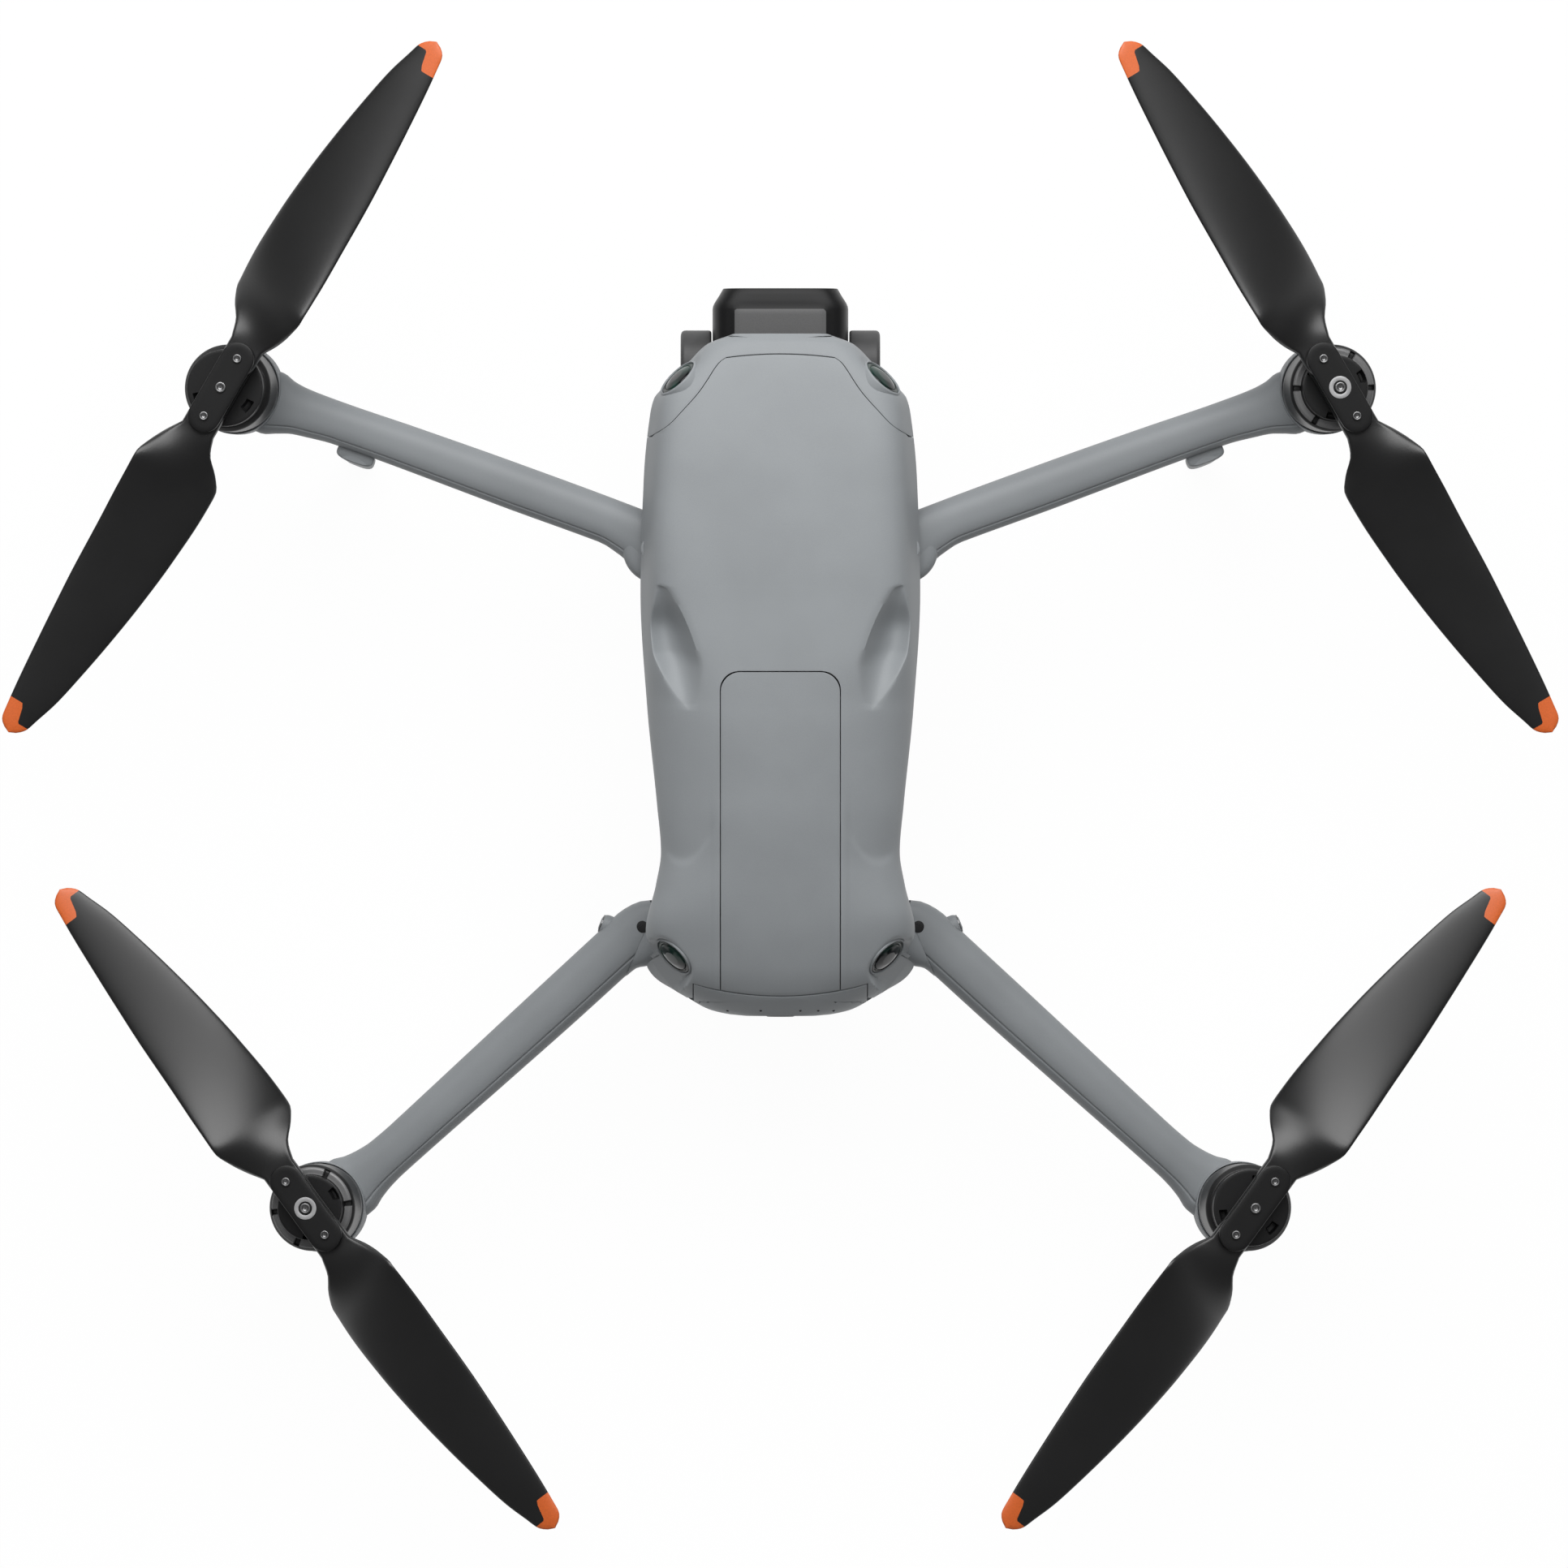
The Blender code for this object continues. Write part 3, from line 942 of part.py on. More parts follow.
def main():
    """Clear the scene and build every piece."""
    for old in list(bpy.data.objects):
        bpy.data.objects.remove(old)
    meshes = propeller_meshes()
    make_upper_shell()
    make_front_trim()
    make_sensors()
    make_lower_shell()
    for side in (-1, 1):
        frame, length = arm_frame(side, FRONT_HINGE_XY, FRONT_MOTOR_XY, FRONT_SEAT_Z)
        hinge = make_front_arm(side, frame, length)
        make_rotor("front", side, hinge, frame, length, FRONT_HUB_HEADING, meshes)
        frame, length = arm_frame(side, REAR_HINGE_XY, REAR_MOTOR_XY, REAR_SEAT_Z)
        hinge = make_rear_arm(side, frame, length)
        make_rotor("rear", side, hinge, frame, length, REAR_HUB_HEADING, meshes)
    make_gimbal()
    make_battery()
    make_insides()


main()
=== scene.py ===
"""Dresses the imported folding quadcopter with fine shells, arms, rotors, camera and battery.

Their finishes, the floor, the light and the camera are made here too.
"""
import json
import math

import bmesh
import bpy
import numpy as np
from mathutils import Matrix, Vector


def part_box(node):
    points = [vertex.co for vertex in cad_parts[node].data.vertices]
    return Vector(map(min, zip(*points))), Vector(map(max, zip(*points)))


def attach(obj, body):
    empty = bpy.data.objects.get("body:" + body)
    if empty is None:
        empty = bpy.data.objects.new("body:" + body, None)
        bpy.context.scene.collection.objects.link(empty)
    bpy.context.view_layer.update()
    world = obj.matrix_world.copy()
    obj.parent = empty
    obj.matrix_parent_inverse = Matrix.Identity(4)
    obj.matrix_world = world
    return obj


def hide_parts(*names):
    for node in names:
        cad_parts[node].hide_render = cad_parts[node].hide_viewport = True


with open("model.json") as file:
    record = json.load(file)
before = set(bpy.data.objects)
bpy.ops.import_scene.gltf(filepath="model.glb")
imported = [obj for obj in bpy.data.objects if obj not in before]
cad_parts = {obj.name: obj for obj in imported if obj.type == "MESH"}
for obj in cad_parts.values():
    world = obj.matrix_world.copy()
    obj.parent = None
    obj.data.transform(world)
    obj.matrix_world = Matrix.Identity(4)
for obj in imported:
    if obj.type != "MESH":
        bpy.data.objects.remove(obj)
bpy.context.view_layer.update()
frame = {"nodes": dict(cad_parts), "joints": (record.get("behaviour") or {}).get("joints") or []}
JOINTS = {joint["name"]: joint for joint in frame["joints"]}

bl_info = {
    "name": "Folding Quadcopter Dressing",
    "version": (1, 0, 0),
    "blender": (4, 5, 0),
    "location": "View3D > Sidebar > Quadcopter",
    "description": "Builds the fine surfaces and finishes of a folding camera quadcopter on its solid frame",
    "category": "Object",
}

SIDES = (("left", -1), ("right", 1))
ENDS = ("front", "rear")

# Upper and lower body from tail to nose: (forward position, value), in metres
BODY_HALF_WIDTH = (
    (-0.0636, 0.0100), (-0.0632, 0.0140), (-0.0619, 0.0195), (-0.0593, 0.0245), (-0.0566, 0.0292),
    (-0.0539, 0.0337), (-0.0519, 0.0357), (-0.0498, 0.0368), (-0.0400, 0.0370), (-0.0275, 0.0342),
    (-0.0185, 0.0328), (-0.0051, 0.0339), (0.0217, 0.0366), (0.0529, 0.0384), (0.0842, 0.0375),
    (0.1020, 0.0357), (0.1062, 0.0346), (0.1080, 0.0332), (0.1119, 0.0293), (0.1162, 0.0250),
    (0.1210, 0.0200), (0.1237, 0.0131),
)
BODY_TOP = (
    (-0.0636, 0.0780), (-0.0587, 0.0850), (-0.0498, 0.0905), (-0.0275, 0.0975), (-0.0051, 0.1020),
    (0.0300, 0.1050), (0.0529, 0.1050), (0.0842, 0.1030), (0.1083, 0.0990), (0.1210, 0.0955),
    (0.1237, 0.0935),
)
BODY_RIM = ((-0.0636, 0.0620), (-0.0440, 0.0620), (-0.0340, 0.0810), (-0.0051, 0.0860), (0.1237, 0.0860))
BODY_WAIST = ((-0.0636, 0.0650), (-0.0498, 0.0720), (-0.0340, 0.0810), (-0.0051, 0.0860), (0.1237, 0.0860))
BODY_SQUARENESS = (
    (-0.0636, 3.0), (-0.0400, 3.4), (-0.0185, 2.4), (0.0217, 2.7), (0.0520, 6.5), (0.1083, 6.5),
    (0.1237, 5.0),
)
BODY_DRAFT = (
    (-0.0636, 0.0), (-0.0400, 0.02), (-0.0185, 0.0), (0.0217, 0.05), (0.0480, 0.115), (0.0842, 0.115),
    (0.1083, 0.10), (0.1237, 0.05),
)
FLANGE_INNER = (
    (-0.0636, 0.0245), (0.0480, 0.0245), (0.0540, 0.0165), (0.0740, 0.0165), (0.0770, 0.0),
    (0.1237, 0.0),
)
LOWER_HALF_WIDTH = (
    (-0.0620, 0.0190), (-0.0590, 0.0250), (-0.0520, 0.0320), (-0.0430, 0.0320), (-0.0345, 0.0268),
    (-0.0100, 0.0268), (0.0100, 0.0315), (0.0400, 0.0340), (0.0660, 0.0340), (0.0730, 0.0300),
    (0.0760, 0.0250),
)
LOWER_BOTTOM = (
    (-0.0620, 0.0340), (-0.0590, 0.0280), (-0.0520, 0.0240), (0.0500, 0.0240), (0.0640, 0.0290),
    (0.0730, 0.0430), (0.0760, 0.0520),
)
LOWER_SQUARENESS, LOWER_EDGE = 4.44, 0.0006
LOWER_STOPS, LOWER_ROWS = (-0.0620, -0.0520, 0.0500, 0.0760), (14, 84, 34)
SHELF_Z, SHELF_LIFT = 0.0615, 0.0001
NECK_HALF_WIDTH = (
    (-0.0620, 0.0262), (0.0476, 0.0262), (0.0536, 0.0180), (0.0750, 0.0180), (0.0760, 0.0175),
)
NECK_REAR, NECK_FRONT = -0.0440, 0.0750
TAIL, NOSE = BODY_HALF_WIDTH[0][0], BODY_HALF_WIDTH[-1][0]
SEAM_GAP = 0.0003
SHELL_TAIL, SHELL_INSET, SHELL_LAP = -0.0586, 0.0014, SEAM_GAP * 0.4
SHELL_COLUMNS, SHELL_FLANGE, SHELL_TAIL_SHARE = (12, 14, 18, 14, 8), 5, 0.6

# Seams of the upper body in plan
TRIM_SEAM = (
    (0.0955, 0.0360), (0.0968, 0.0334), (0.0986, 0.0307), (0.1022, 0.0272), (0.1075, 0.0225),
    (0.1110, 0.0201), (0.1143, 0.0180), (0.1160, 0.0166), (0.1172, 0.0148),
)
TRIM_FRONT, TRIM_BOW, TRIM_INSET = 0.1172, 0.0010, 0.0004
TRIM_COLUMNS, TRIM_FLANGE = (34, 10), 6
PANEL_HALF_WIDTH, PANEL_FRONT, PANEL_CORNER = 0.0163, 0.0308, 0.0053
PLATE_HALF_WIDTH = 0.0238
PLATE_SEAM_MIDDLE, PLATE_SEAM_RISE = -0.0583, 0.0034
PANEL_REAR, PANEL_GAP = PLATE_SEAM_MIDDLE + 0.0010, 0.0004
LEVEL_LIGHTS, LEVEL_LIGHTS_Y = (-0.0145, -0.0054, 0.0055, 0.0104, 0.0146), -0.0621
# Painted shadow under the nose seam: a dark sheet's ends, share of the width, drop under the shell, gap over
# the rim, and wall
SEAM_SHADOW_REAR, SEAM_SHADOW_FRONT, SEAM_SHADOW_SHARE = 0.0900, 0.1210, 0.972
SEAM_SHADOW_DROP, SEAM_SHADOW_RIM_GAP, SEAM_SHADOW_WALL = 0.0009, 0.0006, 0.0003
# Powers by which the curve of a seam fades over the rows of the patch beside it
PLATE_FADE, PANEL_FADE, NOSE_FADE, TRIM_FADE = 14, 12, 6, 2

# Battery block: (forward position, share of the full section)
BLOCK_STATIONS = (
    (-0.0578, 0.96), (-0.0577, 0.985), (-0.0565, 1.0), (0.0285, 1.0), (0.0297, 0.985), (0.0298, 0.96),
)
BLOCK_BOTTOM, BLOCK_TOP, BLOCK_SQUARENESS = 0.0627, 0.0780, 14.0
BATTERY_WALL, BUTTON_DEPTH = 0.0014, 0.0030
# Power button from its edge to its middle: (share of the radius, height)
BUTTON_FACE = ((1.0, 0.0001), (0.86, 0.0003), (0.5, 0.0001), (0.0, 0.0))
# Level light: profile of (radius, height)
LIGHT_BEAD = ((0.0, -0.0006), (0.0004, -0.0006), (0.0004, 0.0), (0.0002, 0.0002), (0.0, 0.00025))
LIGHT_FACING = (0.0, -0.6, 0.8)

# Shoulder hollows and the lines the shell's columns follow: (forward position, distance from the middle)
HOLLOW_INNER = (
    (-0.0549, 0.0241), (0.0100, 0.0241), (0.0205, 0.0247), (0.0228, 0.0233), (0.0260, 0.0222),
    (0.0321, 0.0216), (0.0380, 0.0233), (0.0444, 0.0257), (0.0502, 0.0286), (0.0537, 0.0309),
    (0.0549, 0.0333), (0.0600, 0.0300), (0.0955, 0.0241),
)
HOLLOW_OUTER = (
    (-0.0549, 0.0285), (0.0100, 0.0285), (0.0205, 0.0252), (0.0211, 0.0257), (0.0251, 0.0292),
    (0.0310, 0.0327), (0.0368, 0.0350), (0.0438, 0.0356), (0.0502, 0.0347), (0.0540, 0.0338),
    (0.0549, 0.0335), (0.0600, 0.0330), (0.0955, 0.0300),
)
HOLLOW_REAR, HOLLOW_FRONT, HOLLOW_DEPTH, HOLLOW_SOFT = 0.0205, 0.0549, 0.0036, 0.0007
# Where the sink is full, how far each end fades inwards and outwards, and the lift of the floor past the ends
HOLLOW_DEEP, HOLLOW_ENDS, HOLLOW_LIFT = (0.0380, 0.0420), (0.0006, 0.0010), 0.06
HOLLOW_POWER, HOLLOW_STEEPEST, HOLLOW_CLOSED = 2.0, 4.0, HOLLOW_FRONT + 0.0003
CREASE_MIDDLE, CREASE_REAR, CREASE_CURVE, CREASE_DEPTH = 0.0268, -0.0203, 122.0, 0.0005
CREASE_LIP, CREASE_RUN = (-0.0026, 0.0006), 0.0090
CREASE_INNER, CREASE_OUTER = (0.0165, 0.0200), (0.0335, 0.0300)
RIDGE, RIDGE_DROP = 0.0183, 0.0002
RIDGE_STEP, RIDGE_END = (RIDGE - 0.0002, RIDGE + 0.0004), (0.0050, -0.0150)
ARM_SPLIT_X, ARM_SPLIT_Y, ARM_SPLIT_SLOPE = 0.0383, -0.0382, 0.4145
# The split opens again behind this line, and it counts only behind the front and above the foot
ARM_SPLIT_OPENING, ARM_SPLIT_END = 0.006, (-0.0488, -0.0500)
ARM_SPLIT_FRONT, ARM_SPLIT_FOOT = -0.0270, 0.0685

# Arms: distance from the motor, rearward edge, forward edge (measured across the arm)
FRONT_ARM_EDGES = (
    (-0.0030, -0.0085, 0.0085), (0.0100, -0.0092, 0.0086), (0.0140, -0.0078, 0.0074),
    (0.0180, -0.0064, 0.0069), (0.0220, -0.0058, 0.0068), (0.0300, -0.0049, 0.0069),
    (0.0500, -0.0045, 0.0076), (0.0800, -0.0044, 0.0083), (0.1090, -0.0040, 0.0086),
    (0.1150, -0.0052, 0.0086), (0.1190, -0.0066, 0.0086), (0.1220, -0.0086, 0.0086),
    (0.1243, -0.0104, 0.0084), (0.1275, -0.0098, 0.0080),
)
REAR_ARM_EDGES = (
    (-0.0030, -0.0085, 0.0085), (0.0100, -0.0102, 0.0080), (0.0140, -0.0092, 0.0061),
    (0.0180, -0.0086, 0.0049), (0.0220, -0.0084, 0.0042), (0.0300, -0.0085, 0.0039),
    (0.0600, -0.0092, 0.0040), (0.0900, -0.0098, 0.0041), (0.1060, -0.0099, 0.0041),
    (0.1150, -0.0100, 0.0042), (0.1185, -0.0100, 0.0038), (0.1210, -0.0100, 0.0031),
    (0.1230, -0.0100, 0.0022), (0.1248, -0.0100, 0.0008),
)
REAR_ROOT_EDGES = (
    (0.0980, -0.0099, 0.0041), (0.1046, -0.0100, 0.0041), (0.1085, -0.0102, 0.0041),
    (0.1104, -0.0110, 0.0041), (0.1121, -0.0122, 0.0041), (0.1160, -0.0130, 0.0040),
    (0.1200, -0.0130, 0.0032), (0.1230, -0.0130, 0.0018), (0.1255, -0.0130, 0.0002),
)
ARM_HALF_HEIGHT, ARM_SEAM, ARM_SEAM_WIDTH, ARM_SEAM_DEPTH = 0.0065, 0.834, 0.06, 0.07
ARM_BAR_HALF_HEIGHT, ARM_SLIMMING, ARM_SLIM_ENDS = 0.0060, 0.0004, (0.030, 0.008)
ARM_SQUARENESS, ARM_BREAK = 2.5, 0.036
# Extra columns round a groove, in widths from its middle
GROOVE_COLUMNS = (-1.6, -0.9, -0.45, 0.0, 0.45, 0.9, 1.6)
MOTOR_CUP_RADIUS, MOTOR_CUP_DEPTH = 0.0125, 0.0105
MOTOR_CUP_FOOT, MOTOR_CUP_WALL = 0.0108, 0.0070
MOTOR_SEAT_RADIUS, MOTOR_SEAT_DEPTH = 0.0121, 0.0012
KNUCKLE_RADIUS, KNUCKLE_SINK, KNUCKLE_SOFT = 0.0095, 0.0002, 0.0030
REAR_KNUCKLE_LENGTH = 0.0120
ROOT_HALF_HEIGHT, ROOT_SQUARENESS, ROOT_GAP = 0.0058, 2.9, 0.00003
BARREL_RADIUS, BARREL_TOP_RADIUS, BARREL_CHAMFER, BARREL_RISE = 0.0029, 0.0019, 0.0008, 0.0003
HINGE_CAP_RADIUS, HINGE_CAP_HEIGHT = 0.0031, 0.0060
FRONT_BOSS_BOTTOM = -0.0225
REAR_BOSS_RADIUS, REAR_BOSS_END_RADIUS, REAR_BOSS_LENGTH = 0.0050, 0.0044, 0.012
PIN_HOLE_X, PIN_HOLE_Y, PIN_HOLE_RADIUS = 0.0371, -0.0392, 0.0017
PIN_HOLE_LOW, PIN_HOLE_HIGH = 0.0040, 0.0060
LEG_FROM_MOTOR, LEG_TUCK = 0.0370, 0.0014
LEG_TOP, LEG_FOOT, LEG_ROOT_RISE = (0.0054, 0.0022), (0.0044, 0.0022), 0.0015
LEG_WAIST, LEG_WAIST_FALL = 0.88, (0.16, 0.32, 0.56, 0.72)
LEG_TAPERED, LEG_SQUARENESS, LEG_SHAFT = 0.8, 3.2, (0.03, 0.97, 22)
# Rounded ends of the leg: shares of the way down at root and foot, and the shares of the section there
LEG_ROOT_FALL, LEG_FOOT_FALL, LEG_END_TUCK = (0.0, 0.004, 0.012), (0.985, 0.995, 1.0), (0.86, 0.95, 0.99)

# Rotors, heights along the axis from the motor seat
BELL_RADIUS, BELL_BOTTOM, BELL_TOP, BELL_CHAMFER = 0.0120, 0.0022, 0.0140, 0.0012
BELL_BORE, BELL_CEILING, BELL_STEP = 0.0110, 0.0034, 0.0006
MOUNT_RADIUS, MOUNT_TOP, MOUNT_EDGE = {1: 0.0090, -1: 0.0106}, 0.0178, 0.0004
BAND_INNER, BAND_OUTER, BAND_BELOW_MOUNT = (0.0091, 0.0093), (0.0114, 0.0111), 0.0020
SPOKES, SPOKE_EDGES, SPOKE_DEPTH = 6, (0.86, 0.96), 0.0009
SLOTS, SLOT_TURN, SLOT_EDGES, SLOT_DEPTH = 3, 1.2, (0.80, 0.90), 0.0016
SLOT_INNER, SLOT_OUTER = (0.0070, 0.0073), (0.0088, 0.0084)
# Motor base: profile of (radius, height)
MOTOR_BASE = (
    (0.0, 0.0003), (0.0118, 0.0003), (0.0120, 0.0012), (0.0112, 0.0019), (0.0098, 0.0022),
    (0.0098, 0.0112), (0.0, 0.0112),
)
BLADE_LEVEL = 0.0214
HUB_PLATE_HALF_WIDTH = 0.0046
HUB_PLATE_INNER, HUB_PLATE_OUTER = 0.0018, 0.0033
HUB_CROWN, HUB_CROWN_SHARE = HUB_PLATE_OUTER + 0.00012, 0.30
HUB_CORE_HALF, HUB_CORE_RADIUS, HUB_CORE_INSET = 0.0012, HUB_PLATE_HALF_WIDTH - 0.0006, 0.004
SCREW_RISE, MIDDLE_SCREW_RADIUS, PIVOT_SCREW_RADIUS = 0.0007, 0.00145, 0.0012
SOCKET_RIM_SHARE, SOCKET_FLOOR_SHARE, SOCKET_DEPTH, SOCKET_MIDDLE = 0.62, 0.52, 0.0005, 0.0006
RING_INNER, RING_OUTER, RING_TOP = 0.0019, 0.0031, HUB_PLATE_OUTER + 0.0003
BLADE_EYE_RADIUS, BLADE_EYE_HALF, BLADE_EYE_STEEP = 0.0050, 0.0015, 2.2
BLADE_PITCH, BLADE_PITCH_FULL, BLADE_ROOT_END = 0.1194, 0.16, 0.0260
BLADE_BREAKS, BLADE_ROOT_LEAD = (0.030, 0.105), 0.0005
BLADE_CLOSING, BLADE_CLOSING_POWER, BLADE_TIP_SHARE = 0.1075, 2.6, 0.02
BLADE_THICKNESS, BLADE_THINNING, BLADE_CAMBER = 0.0026, 0.0016, 0.06
FOIL_POWER, FOIL_FRONT, FOIL_TAPER = 0.8, 1.15, 0.3
PAINT_TRAILING, PAINT_STEP, PAINT_UNIT = 0.0034, (0.34, 0.62), 0.001
# Blade: distance from the spin axis, then its leading and trailing edge from the blade's line
BLADE_STATIONS = (
    (0.0134, 0.0050, 0.0050), (0.0179, 0.0077, 0.0065), (0.0223, 0.0096, 0.0100),
    (0.0268, 0.0108, 0.0121), (0.0357, 0.0108, 0.0124), (0.0491, 0.0105, 0.0118),
    (0.0625, 0.0102, 0.0105), (0.0759, 0.0095, 0.0086), (0.0893, 0.0086, 0.0062),
    (0.0982, 0.0079, 0.0043), (0.1049, 0.0072, 0.0022), (0.1094, 0.0066, 0.0007),
    (0.1117, 0.0052, -0.0008),
)

# Gimbal
ROLL_Z, TILT_Y = 0.0580, 0.1155
YOKE_INNER, YOKE_OUTER, YOKE_BACK, YOKE_HALF_HEIGHT = 0.0190, 0.0275, 0.0908, 0.0055
YOKE_INSET, YOKE_SQUARENESS, YOKE_END_SHARE, YOKE_END = 0.0012, 4.0, 0.9, 0.0003
YOKE_BAR_HALF, YOKE_STARTS, YOKE_START_SHARES = 0.0020, (0.0, 0.0004, 0.001), (0.9, 0.97)
POD_RADIUS, POD_CHAMFER, POD_DISH, POD_RIM_SHARE, POD_DISH_SHARE = 0.0098, 0.0010, 0.0006, 0.72, 0.68
# Camera: (forward position, half width, half height)
CAMERA_STATIONS = (
    (0.1005, 0.0140, 0.0110), (0.1030, 0.0172, 0.0146), (0.1065, 0.0187, 0.0165),
    (0.1310, 0.0187, 0.0165), (0.1352, 0.0166, 0.0158), (0.1366, 0.0158, 0.0152),
)
CAMERA_SQUARENESS = 5.5
# Face of the camera: (forward position, share of the last section)
CAMERA_FACE = ((0.1366, 0.93), (0.1360, 0.90), (0.1360, 0.5))
COVER_SIDE, COVER_REAR, COVER_FRONT = (0.0128, 0.0122), (0.1045, 0.1060), (0.1318, 0.1300)
COVER_FROM, COVER_RISE = 0.4, 0.0004

# Sensor windows: place on the right side, and the way they look
SENSORS = {
    "front": ((0.0283, 0.1118, 0.0925), (0.66, 0.69, 0.31)),
    "rear": ((0.0296, -0.0475, 0.0838), (0.66, -0.64, 0.40)),
}
SENSOR_RADIUS, SENSOR_DEPTH, SENSOR_SINK = 0.0058, 0.0040, 0.0006
FACET_FADE, FACET_REACH = (SENSOR_RADIUS + 0.0026, SENSOR_RADIUS + 0.0004), 0.012
WINDOW_RISE = SENSOR_DEPTH * 0.12
# Window from its edge to its middle: (share of the radius, share of the rise)
WINDOW_FACE = ((0.86, -0.4), (0.80, -1.4), (0.74, -0.2), (0.4, 0.8), (0.0, 1.0))
# Bezel round a window: (distance past the window's radius, height)
BEZEL = (
    (0.0, -0.0012), (0.0, -0.0002), (0.0002, 0.0), (0.0006, -0.0003), (0.0009, -0.0038), (0.0, -0.0038),
    (0.0, -0.0012),
)

# Stage: lengths in metres, the film width in millimetres, the glow as a strength and a share
FLOOR_REACH, FLOOR_DROP = 4.0, 0.0002
KEY_AT, KEY_TARGET, KEY_SIZE = (0.0, 1.23, 1.425), (0.0, 0.0, 0.06), (2.2, 1.3)
TOP_AT, TOP_TARGET, TOP_SIZE = (0.0, 0.15, 1.9), (0.0, 0.1, 0.06), (1.5, 1.5)
VIEW_X, VIEW_Y, VIEW_FOCUS_Z, VIEW_CLIP = 0.0010, 0.0002, 0.075, 60.0
FILM_WIDTH = 36.0
FLOOR_GLOW, FLOOR_GLOW_SHARE = 1.04, 0.93
WHITE = (1.0, 1.0, 1.0, 1.0)


# Surfaces

def smooth(stations, at):
    """Cubic through the stations: its slope at each is its chords' harmonic mean, or none at a turn."""
    x, y = np.array(stations, float).T[:2]
    at = np.clip(np.asarray(at, float), x[0], x[-1])
    chord = np.diff(y) / np.diff(x)
    product = chord[:-1] * chord[1:]
    total = np.where(product > 0.0, chord[:-1] + chord[1:], 1.0)
    slope = np.concatenate([chord[:1], np.where(product > 0.0, 2.0 * product / total, 0.0), chord[-1:]])
    i = np.clip(np.searchsorted(x, at, side="right") - 1, 0, len(x) - 2)
    span = x[i + 1] - x[i]
    t = (at - x[i]) / span
    return (y[i] * (1 + 2 * t) * (1 - t) ** 2 + y[i + 1] * t * t * (3 - 2 * t)
            + span * (slope[i] * t * (1 - t) ** 2 - slope[i + 1] * t * t * (1 - t)))


def ease(low, high, value):
    """Smooth step: t squared times (3 - 2 t), with t the share of the way from low to high."""
    t = np.clip((np.asarray(value, float) - low) / (high - low), 0.0, 1.0)
    return t * t * (3.0 - 2.0 * t)


def weave(rows, columns, round_columns=False):
    """Quads of a grid: each joins a point to the next column and the next row; columns wrap where asked."""
    i, j = np.meshgrid(np.arange(rows - 1), np.arange(columns - (not round_columns)), indexing="ij")
    below, beside = i + 1, (j + 1) % columns
    corners = [i * columns + j, i * columns + beside, below * columns + beside, below * columns + j]
    return np.stack(corners, -1).reshape(-1, 4)


def grid(x, y, z, **wraps):
    """Surface of three equal arrays over rows and columns: its points and its quads."""
    x, y, z = np.broadcast_arrays(x, y, z)
    return np.stack([x, y, z], -1).reshape(-1, 3), weave(*x.shape, **wraps)


def joined(*surfaces):
    """Several surfaces as one list of points and quads."""
    starts = np.cumsum([0] + [len(points) for points, _ in surfaces[:-1]])
    return (np.concatenate([points for points, _ in surfaces]),
            np.concatenate([quads + start for (_, quads), start in zip(surfaces, starts)]))


def mirrored(surface):
    """The surface seen in the plane x = 0, with its quads turned round to keep facing outwards."""
    points, quads = surface
    return points * (-1.0, 1.0, 1.0), quads[:, ::-1]


def both_halves(surface):
    """The surface and its mirror image."""
    return joined(surface, mirrored(surface))


def placed(surface, origin, axes):
    """The surface carried from its own axes (rows of three unit vectors) to its place."""
    points, quads = surface
    return points @ np.asarray(axes) + np.asarray(origin), quads


def stepped(stops, counts):
    """Columns between the stops, each an array over rows, cut into equal shares by count."""
    parts = [a[:, None] + (b - a)[:, None] * np.arange(count) / count
             for a, b, count in zip(stops, stops[1:], counts)]
    return np.concatenate([*parts, stops[-1][:, None]], 1)


def softened(corners, radius, steps=4):
    """Open polyline with each inner corner replaced by a quadratic curve that starts a radius before it.

    On a short side the curve starts a little before the side's middle instead.
    """
    most = 0.48
    corners = np.asarray(corners, float)
    out = [corners[:1]]
    t = np.linspace(0.0, 1.0, steps)[:, None]
    for before, at, after in zip(corners, corners[1:], corners[2:]):
        reach_in = min(radius, np.linalg.norm(at - before) * most)
        reach_out = min(radius, np.linalg.norm(after - at) * most)
        start = at + (before - at) / np.linalg.norm(before - at) * reach_in
        stop = at + (after - at) / np.linalg.norm(after - at) * reach_out
        out.append(start * (1 - t) ** 2 + at * 2 * t * (1 - t) + stop * t ** 2)
    return np.concatenate([*out, corners[-1:]])


def turned(profile, segments=64):
    """Profile of (radius, height) carried round the axis: x = r cos a, y = r sin a, z = height."""
    radius, height = np.asarray(profile, float).T
    angle = np.arange(segments) / segments * 2 * math.pi
    radius, height = radius[:, None], height[:, None]
    return grid(radius * np.cos(angle), radius * np.sin(angle), height + 0 * angle, round_columns=True)


def drum(radius, low, high, soft, steps=4):
    """Profile of a closed drum between two heights, with soft edges."""
    return softened([(0.0, low), (radius, low), (radius, high), (0.0, high)], soft, steps)


def cone(radius, low, end_radius, high, soft):
    """Profile of a closed drum whose second end has a radius of its own."""
    return softened([(0.0, low), (radius, low), (end_radius, high), (0.0, high)], soft)


def superellipse(angle, power):
    """Unit curve |x|^n + |y|^n = 1 met along each bearing."""
    c, s = np.cos(angle), np.sin(angle)
    reach = (np.abs(c) ** power + np.abs(s) ** power) ** (-1.0 / power)
    return c * reach, s * reach


